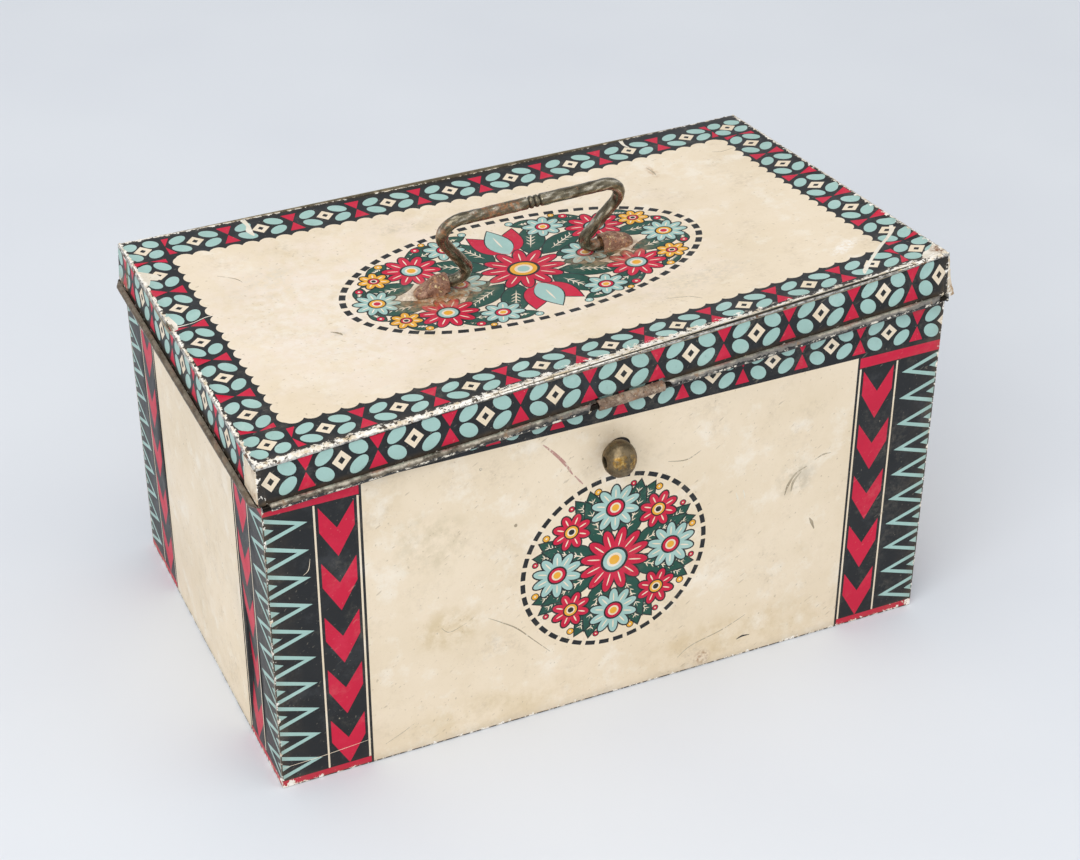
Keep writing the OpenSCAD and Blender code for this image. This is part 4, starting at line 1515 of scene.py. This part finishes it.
            # The ground is plain at both ends of the row, above and below the lozenges' tips
            for start, stop in ((low, low + self.end_ground[0]), (high - self.end_ground[1], high)):
                layout.block(Ink.CHARCOAL, (start, self.row_level + self.ground_gap), (stop, 1))
                layout.block(Ink.CHARCOAL, (start, self.foot), (stop, self.row_level - self.ground_gap))
            layout.block(Ink.CREAM, (low - self.tab - 1, self.tab_foot - 1), (low, 0))
            layout.block(Ink.CREAM, (high, foot - 0.1), (high + self.tab + 1, 0))
        roll_top, right_top = self.tab_foot - self.roll_gap, foot - (0.15 if front else 0.9)
        outline = [(-end, self.foot)]
        for middle, half in notches:
            outline += [(middle - half, self.foot), (middle - half, self.notch_top),
                        (middle + half, self.notch_top), (middle + half, self.foot)]
        outline += [(last, self.foot), (last, right_top), (high, right_top), (high, foot),
                    (high + self.tab, foot), (high + self.tab - self.tab_taper, self.tab_top),
                    (high, self.tab_top), (high, self.top), (low, self.top), (low, self.tab_top),
                    (low - self.tab + self.tab_taper, self.tab_top), (low - self.tab, self.tab_foot),
                    (low, self.tab_foot), (low, roll_top), (-end, roll_top)]
        spots = self.spots(-end, end)
        rows = 8
        for step in (0.5, 1.0, 1.6, 2.4, 3.2, 4.2, 5.2, 6.4, 9.0, 12.0):
            for k in range(rows + 1):
                spots += [(low - step, self.tab_foot + (self.tab_top - self.tab_foot) * k / rows),
                          (high + step, foot + (self.tab_top - foot) * k / rows)]
        sheet = PrintedSheet(name, "lid", layout, outline, place, wear, spots, TIN.sheet)
        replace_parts(sheet.build(self.finishes, self.rim), node)

    def end_skirt(self, name: str, node: str, side: int) -> None:
        """Builds the left or right skirt.

        Args:
            name: Name of the piece.
            node: The part's node that it stands for.
            side: Sign of its outward direction.
        """
        middle, half = (TIN.lid_front + TIN.lid_back) / 2, TIN.lid_depth / 2

        def place(u: float, level: float) -> Point3:
            """Puts a point of the flat sheet on the skirt."""
            stand, height, share = self.section(level)
            y = middle + side * u
            x = TIN.lid_end(side, y, share) + side * stand
            lift = share * TIN.lid_lift(side * TIN.lid_half, y)
            return x, y, TIN.lid_top + TIN.edge_rise(side * TIN.lid_half, y) + height + lift

        def wear(u: float, level: float) -> Point3:
            """Distance to the rim, share of bared primer, and dust over the rim."""
            return self.above_rim(level), 0.1, self.dust(level)

        layout = Layout()
        layout.block(Ink.CHARCOAL, (-half - 1, self.foot - 1), (half + 1, 1))
        layout.row((0, self.row_level), SKIRT_ROW, Run.ACROSS, 4)
        flat, roll_top = half - self.end_trim, self.tab_foot - self.roll_gap
        start = -half + self.tab if side > 0 else -half
        outline = [(start, self.foot), (half, self.foot), (half, roll_top), (flat, roll_top),
                   (flat, self.top), (-flat, self.top), (-flat, roll_top), (start, roll_top)]
        sheet = PrintedSheet(name, "lid", layout, outline, place, wear, self.spots(-half, half), TIN.sheet)
        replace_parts(sheet.build(self.finishes, self.rim), node)


# Metalwork


@dataclass
class CarryHandle:
    """The bail: one rod bent into a bar, two legs and two feet, with a worked surface."""

    finish: Material
    rod: float = 3.05
    half_width: float = 50.0
    half_foot: float = 24.5
    height: float = 39.0
    bar_bend: float = 8.5
    foot_bend: float = 5.5
    foot_end: float = 43.0
    lean: float = 21.8
    lug_in: float = 38.0
    lug_share: float = 0.93
    groove_pitch: float = 2.6
    groove_depth: float = 0.2
    groove_width: float = 0.42
    spacing: float = 0.5
    stroke: float = 5.0
    twist: float = 15.0
    stroke_depth: float = 0.5
    strokes_round: float = 2.2

    def build(self) -> None:
        """Bends the rod, works its surface and hangs it on its pivot."""
        joint = next(j for j in frame["joints"] if j["name"] == "handle_swing")
        pivot, axis = Vector(joint["pos_m"]), Vector(joint["axis"]).normalized()
        slope_y = -TIN.twist / 2 / TIN.lid_depth
        slope_x = TIN.twist / 4 / TIN.lid_half
        seat = Vector((-slope_x, -slope_y, 1)).normalized()
        up = Matrix.Rotation(math.radians(self.lean), 3, axis) @ seat
        path = self.path()
        curve = bpy.data.curves.new("carry_rod", "CURVE")
        curve.dimensions = "3D"
        curve.bevel_depth = self.rod * MM
        curve.bevel_resolution = 8
        curve.use_fill_caps = True
        spline = curve.splines.new("POLY")
        spline.points.add(len(path) - 1)
        for spot, (x, z) in zip(spline.points, path):
            spot.co = (*(pivot + (axis * x + up * z) * MM), 1)
            spot.radius = self.thickness(x, z)
        piece = bpy.data.objects.new("carry_rod", curve)
        bpy.context.scene.collection.objects.link(piece)
        select(piece)
        bpy.ops.object.convert(target="MESH")
        piece = bpy.context.active_object
        self.chase(piece, [pivot + (axis * x + up * z) * MM for x, z in path], axis.cross(up))
        work_surface(piece, 2.6, 0.25)
        dress(piece, self.finish)
        bpy.ops.object.shade_smooth()
        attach(piece, "handle")
        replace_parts(piece, "carry_handle")
        LOG.info("carry_rod: %d faces", len(piece.data.polygons))

    def chase(self, piece: Piece, middles: list[Vector], across: Vector) -> None:
        """Sinks slanting strokes into the rod and keeps how high each spot lies as an attribute.

        Args:
            piece: The rod.
            middles: Middles of its rings.
            across: Direction square to the handle's plane.
        """
        mesh = piece.data
        tree = KDTree(len(middles))
        along = [0.0]
        for k, middle in enumerate(middles):
            tree.insert(middle, k)
            along.append(along[-1] + (middle - middles[max(k - 1, 0)]).length / MM)
        tree.balance()
        heights = []
        for vertex in mesh.vertices:
            middle, k, _ = tree.find(vertex.co)
            ahead = (middles[min(k + 1, len(middles) - 1)] - middles[max(k - 1, 0)]).normalized()
            arm = vertex.co - middle
            turn = math.atan2(arm.dot(across), arm.dot(across.cross(ahead))) + along[k + 1] / self.twist
            wide = self.strokes_round
            spot = Vector((along[k + 1] / self.stroke, wide * math.cos(turn), wide * math.sin(turn)))
            left = arm.length / MM / self.rod - 1 + self.groove_depth
            level = min(1.0, max(0.0, left / self.groove_depth))
            heights.append((0.5 + 0.5 * noise.noise(spot)) * level)
            vertex.co = middle + arm * (1 - self.stroke_depth * (1 - heights[-1]) / self.rod)
        work = mesh.attributes.new("work", "FLOAT", "POINT")
        work.data.foreach_set("value", heights)

    def thickness(self, x: float, z: float) -> float:
        """Share of the rod's radius at a place along it."""
        if abs(x) > self.lug_in - 1 and z < 1:
            return self.lug_share
        if z <= self.height - 1:
            return 1.0
        grooves = sum(bell(x - k * self.groove_pitch, self.groove_width) for k in (-1, 0, 1))
        return 1.0 - self.groove_depth * min(grooves, 1.0)

    def path(self) -> list[Point]:
        """Middle line of the rod, from its right foot to its left.

        Returns:
            Places across and up from the pivot.
        """
        leg = math.atan2(self.height, self.half_width - self.half_foot)
        foot_run = self.foot_bend / math.tan(leg / 2)
        bar_run = self.bar_bend / math.tan(leg / 2)
        knee = (self.half_foot + foot_run, self.foot_bend)
        elbow = (self.half_width - bar_run, self.height - self.bar_bend)
        corners = [(self.foot_end, 0.0), (knee[0], 0.0)]
        steps = 24
        for (cx, cz), r, start, stop in ((knee, self.foot_bend, 1.5 * math.pi, leg + math.pi / 2),
                                         (elbow, self.bar_bend, leg - math.pi / 2, math.pi / 2)):
            turns = [start + (stop - start) * k / steps for k in range(steps + 1)]
            corners += [(cx + r * math.cos(turn), cz + r * math.sin(turn)) for turn in turns]
        corners += [(-x, z) for x, z in reversed(corners)]
        path = [corners[0]]
        for a, b in zip(corners, corners[1:]):
            count = max(1, round(math.dist(a, b) / self.spacing))
            path += [(a[0] + (b[0] - a[0]) * k / count, a[1] + (b[1] - a[1]) * k / count)
                     for k in range(1, count + 1) if math.dist(a, b) > 1e-6]
        return path


def dress(piece: Piece, finish: Material) -> None:
    """Gives an object one finish in place of its own."""
    piece.data.materials.clear()
    piece.data.materials.append(finish)


def work_surface(piece: Piece, grain: float, depth: float) -> None:
    """Gives a mesh a hammered, pitted surface.

    Args:
        piece: The object.
        grain: Width of the lumps in millimetres.
        depth: Their depth in millimetres.
    """
    pattern = bpy.data.textures.new(f"{piece.name}_lumps", "CLOUDS")
    pattern.noise_scale = grain * MM
    pattern.noise_depth = 2
    lumps = piece.modifiers.new("lumps", "DISPLACE")
    lumps.texture = pattern
    lumps.texture_coords = "LOCAL"
    lumps.strength = depth * MM
    lumps.mid_level = 0.55
    select(piece)
    bpy.ops.object.modifier_apply(modifier=lumps.name)


@dataclass
class Hardware:
    """Lugs, hasp and other metal: rusted pieces worked over, the rest dressed as packed."""

    lug: Material
    rust: Material
    iron: Material
    brass: Material
    hole_shade: Material
    inside: Material
    pinch_from: float = 42.0
    pinch_length: float = 12.0
    lug_foot: float = 0.3
    wire_cut: float = 3.2
    knob_neck: float = -101.0
    knob_neck_run: float = 3.0
    knob_level: float = 135.5
    knob_egg: float = 0.14
    knob_sink: float = 0.3
    knob_droop: float = 1.4

    def build(self) -> None:
        """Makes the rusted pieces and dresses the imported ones."""
        self.flatten(self.worked("left_lug", "handle_lug_left", "lid", self.lug), 0.72)
        self.flatten(self.worked("right_lug", "handle_lug_right", "lid", self.lug), 0.42)
        self.worked("hasp_roll", "hasp_knuckle", "hasp", self.rust)
        self.worn_knob()
        self.cut_wire()
        # The knob's washer gets a very dark finish: painted shade for the gap that shows through the knob's
        # hole
        dressed = {
            "lid_left_wire": self.iron, "lid_right_wire": self.iron, "hinge_wire": self.iron,
            "hinge_strap_left": self.rust, "hinge_strap_right": self.rust, "hinge_rivets": self.rust,
            "knob_washer": self.hole_shade, "bottom_plate": self.inside,
        }
        for node, finish in dressed.items():
            dress(frame["nodes"][node], finish)
            LOG.info("%s: dressed as packed", node)

    def flatten(self, piece: Piece, pinch: float) -> None:
        """Pinches the outer end of a lug on the lid.

        Args:
            piece: The lug.
            pinch: Share of its height that is lost at the end.
        """
        for vertex in piece.data.vertices:
            x, y, z = vertex.co / MM
            base = TIN.lid_height(x, y) + self.lug_foot
            share = min(1.0, max(0.0, (abs(x) - self.pinch_from) / self.pinch_length))
            if z > base:
                vertex.co.z = (base + (z - base) * (1 - pinch * share * share * (3 - 2 * share))) * MM

    def worn_knob(self) -> None:
        """Draws the knob's ball out to a blunt egg that droops to the left, and bruises it."""
        piece = self.worked("knob_ball", "ball_knob", "box", self.brass, 0.28)
        for vertex in piece.data.vertices:
            out = min(1.0, max(0.0, (self.knob_neck - vertex.co.y / MM) / self.knob_neck_run))
            level = vertex.co.z - self.knob_level * MM
            vertex.co.z += level * self.knob_egg * out - self.knob_sink * MM * out
            vertex.co.x -= self.knob_droop * MM * out

    def cut_wire(self) -> None:
        """Shortens a copy of the front wire, whose right end lies behind the bent tab."""
        piece = self.copy("front_wire", "lid_front_wire")
        run = Vector((2 * TIN.lid_half, 0, TIN.twist)).normalized()
        for vertex in piece.data.vertices:
            if vertex.co.x > 0:
                vertex.co -= run * self.wire_cut * MM
        dress(piece, self.iron)
        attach(piece, "lid")
        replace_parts(piece, "lid_front_wire")
        LOG.info("front_wire: %d faces", len(piece.data.polygons))

    def copy(self, name: str, node: str) -> Piece:
        """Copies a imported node.

        Args:
            name: Name of the copy.
            node: The part's node.

        Returns:
            The copy, free of its parent.
        """
        source = frame["nodes"][node]
        piece = source.copy()
        piece.data = source.data.copy()
        for key in list(piece.keys()):
            del piece[key]
        piece.parent = None
        piece.name = name
        bpy.context.scene.collection.objects.link(piece)
        return piece

    def worked(self, name: str, node: str, body: str, finish: Material,
               voxel: float = 0.3) -> Piece:
        """Makes a lumpy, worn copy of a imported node.

        Args:
            name: Name of the piece.
            node: The part's node that it stands for.
            body: The body that it rides on.
            finish: Its material.
            voxel: Fineness of its mesh in millimetres.

        Returns:
            The piece.
        """
        piece = self.copy(name, node)
        select(piece)
        bpy.ops.object.mode_set(mode="EDIT")
        bpy.ops.mesh.select_all(action="SELECT")
        bpy.ops.mesh.remove_doubles(threshold=1e-6)
        bpy.ops.object.mode_set(mode="OBJECT")
        remesh = piece.modifiers.new("remesh", "REMESH")
        remesh.mode = "VOXEL"
        remesh.voxel_size = voxel * MM
        bpy.ops.object.modifier_apply(modifier=remesh.name)
        smooth = piece.modifiers.new("smooth", "SMOOTH")
        smooth.iterations = 3
        bpy.ops.object.modifier_apply(modifier=smooth.name)
        work_surface(piece, 2.2, 0.35)
        dress(piece, finish)
        bpy.ops.object.shade_smooth()
        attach(piece, body)
        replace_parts(piece, node)
        LOG.info("%s: %d faces", name, len(piece.data.polygons))
        return piece


# Studio


@dataclass
class Studio:
    """Floor, soft light and the camera at the photograph's angle."""

    camera_at: Point3 = (-367.1, -819.8, 673.1)
    yaw: float = 24.59
    pitch: float = 33.24
    roll: float = 0.24
    lens: float = 75.57

    def build(self) -> None:
        """Builds the floor, the lamps, the world and the camera."""
        bpy.ops.object.select_all(action="DESELECT")
        bpy.ops.mesh.primitive_plane_add(size=14, location=(0, 0, -0.0003))
        floor = bpy.context.active_object
        floor.name = "studio_floor"
        floor.data.materials.append(paper_floor())
        world = bpy.data.worlds.new("studio")
        world.use_nodes = True
        sky = world.node_tree.nodes["Background"]
        sky.inputs["Color"].default_value = linear("#F3F6FA")
        sky.inputs["Strength"].default_value = 0.66
        bpy.context.scene.world = world
        self.lamp("key", (-1.8, -1.6, 1.7), 2.2, 40)
        self.lamp("fill", (1.4, -1.4, 1.3), 1.8, 5)
        self.lamp("top", (-0.3, -0.2, 2.2), 1.6, 11)
        self.camera()
        view = bpy.context.scene.view_settings
        view.view_transform = "Standard"

    def lamp(self, name: str, at: Point3, size: float, power: float) -> None:
        """Adds a soft square lamp that shines at the box.

        Args:
            name: Its name.
            at: Its place in metres.
            size: Its width in metres.
            power: Its power in watts.
        """
        light = bpy.data.lights.new(name, "AREA")
        light.size = size
        light.energy = power
        lamp = bpy.data.objects.new(name, light)
        lamp.location = at
        lamp.rotation_euler = (Vector((0, 0, 0.09)) - Vector(at)).to_track_quat("-Z", "Y").to_euler()
        bpy.context.scene.collection.objects.link(lamp)

    def camera(self) -> None:
        """Puts the camera where the photograph was taken from."""
        yaw, pitch, roll = (math.radians(a) for a in (self.yaw, self.pitch, self.roll))
        right = Vector((math.cos(yaw), -math.sin(yaw), 0))
        ahead = Vector((math.sin(yaw) * math.cos(pitch), math.cos(yaw) * math.cos(pitch), -math.sin(pitch)))
        up = right.cross(ahead)
        side = right * math.cos(roll) + up * math.sin(roll)
        top = -right * math.sin(roll) + up * math.cos(roll)
        turn = Matrix((side, top, -ahead)).transposed()
        data = bpy.data.cameras.new("camera")
        data.lens = self.lens
        data.sensor_width = 36
        data.sensor_fit = "HORIZONTAL"
        data.clip_start = 0.01
        camera = bpy.data.objects.new("camera", data)
        camera.location = Vector(self.camera_at) * MM
        camera.rotation_euler = turn.to_euler()
        bpy.context.scene.collection.objects.link(camera)
        bpy.context.scene.camera = camera


def ink_finishes() -> dict[Ink, Material]:
    """Builds the inks' materials.

    Returns:
        Materials by ink.
    """
    front = -TIN.depth / 2
    smears_and_knob_shadow = (
        Mark((90, front, 94), (12, 8, 12), "#B5A88F", 0.45, (0, 25, 0), 6),
        Mark((-88, front, 110), (22, 8, 20), "#C9B998", 0.5, (0, 30, 0), 9),
        Mark((-80, front, 62), (20, 8, 14), "#CDB587", 0.5, grain=8),
        Mark((60, front, 14), (60, 8, 16), "#D2B98C", 0.5, grain=14),
        Mark((-60, front, 10), (50, 8, 14), "#D6C097", 0.45, grain=12),
        Mark((46, front, 5), (5, 6, 5), "#9A6232", 0.7, grain=1.6),
        # Painted shadow: a darker warm halo on the cream round the knob
        Mark((-2, front, 138), (12, 8, 12), "#BFA87C", 0.2),
        Mark((-96, -16, 173), (9, 5, 9), "#9C917F", 0.55),
        Mark((-35, 63, 173), (22, 8, 9), "#B6AB98", 0.45),
        Mark((95, 60, 174), (3, 9, 9), "#A8793F", 0.45),
        Mark((60, -52, 178), (40, 12, 9), "#C7BBA6", 0.45),
        Mark((-110, 40, 172), (24, 18, 9), "#CDBFA8", 0.5),
        Mark((-40, 0, 176), (160, 110, 26), "#F0DFCC", 1.0, grain=14),
        Mark((-95, 0, 174), (62, 80, 14), "#F8F0E6", 0.4, grain=5),
        Mark((127, -66, 186), (12, 5, 8), "#FBF5EC", 0.9, (0, 0, 30), 2),
        Mark((161.5, -100.5, 175), (4, 5, 5), "#A9793F", 0.9, grain=2.2),
        Mark((-160.5, -100.5, 154), (5, 6, 6), "#A9793F", 0.9, grain=2.2),
        Mark((-160.5, -100.5, 168), (4, 6, 4), "#8A6A48", 0.8, grain=2.2),
    )
    lugs = (
        Mark((-42, -3, 173), (30, 17, 12), "#C9B08A", 0.85, grain=4.5),
        Mark((-44, -3, 173), (24, 14, 12), "#7C5A40", 1.0, grain=2.4),
        Mark((-44, -8, 173), (20, 8, 12), "#B0713F", 0.8, grain=1.6),
        Mark((38, -6, 176), (26, 14, 12), "#C0A07C", 0.7, grain=4.5),
        Mark((42, -5, 176), (19, 12, 12), "#7C5A40", 0.9, grain=2.4),
    )
    corner = (Mark((158, -97, 194.5), (7, 9, 8), "#7E4E2A", 1.0, grain=2.2),
              Mark((160.5, -102.5, 173.6), (5, 5, 5), "#8A5A34", 1.0, grain=2.0))
    recipes = (
        InkFinish(Ink.CREAM, "#EEDDC3", "#DCC8A6", "#F7EEDF", "#8F7856", 0.735, 0.35, smears_and_knob_shadow + lugs),
        InkFinish(Ink.CHARCOAL, "#222426", "#2C2D2F", "#404245", "#BFB49E", 0.70, 0.2, lugs),
        InkFinish(Ink.TEAL, "#A5C7BF", "#97B6AC", "#BAD3CB", "#6F7E77", 0.715, 0.25, lugs),
        InkFinish(Ink.CRIMSON, "#CE1B3E", "#B61C39", "#D1304C", "#D9A79A", 0.715, 0.2, lugs),
        InkFinish(Ink.GREEN, "#214E42", "#2A5244", "#2E5B4E", "#B4B49E", 0.71, 0.22, lugs),
        InkFinish(Ink.YELLOW, "#EFAE38", "#D99D38", "#F3BE5A", "#8A6A3A", 0.72, 0.25, lugs),
        InkFinish(Ink.PRIMER, "#EFE6D6", "#D3C2A2", "#F9F2E6", "#6B5A44", 0.66, 0.3, corner),
        InkFinish(Ink.MADDER, "#B98A80", "#D2B5A2", "#E6D8C2", "#E6D8C2", 0.56, 0.4),
        InkFinish(Ink.SCUFF, "#9C8D75", "#BFB197", "#D8C9B0", "#E6D8C2", 0.56, 0.5),
    )
    return {recipe.ink: recipe.build() for recipe in recipes}


def main() -> None:
    """Builds the pieces in order and reports each."""
    logging.basicConfig(level=logging.INFO, format="%(message)s")
    finishes = ink_finishes()
    inside = tinned_inside()
    BodySheets(finishes, inside).build()
    LidSheet(finishes, inside).build()
    SkirtSheets(finishes, worn_rim()).build()
    iron = worked_iron()
    CarryHandle(iron).build()
    lug = RustFinish("flaking_rust", "#7B5543", "#B18B73", "#C8864A", "#E1CC99").build()
    rust = RustFinish("rusted_sheet_iron", "#76604F", "#A08B77", "#9A6E48", "#B8A993").build()
    # Very dark iron for the knob's washer: painted shade in the hole round the knob's neck
    hole_shade = RustFinish("dark_hole_shade_iron", "#171411", "#241F1A", "#2C231B", "#352C24").build()
    Hardware(lug, rust, iron, old_brass(), hole_shade, inside).build()
    Studio().build()


if __name__ == "__main__":
    main()
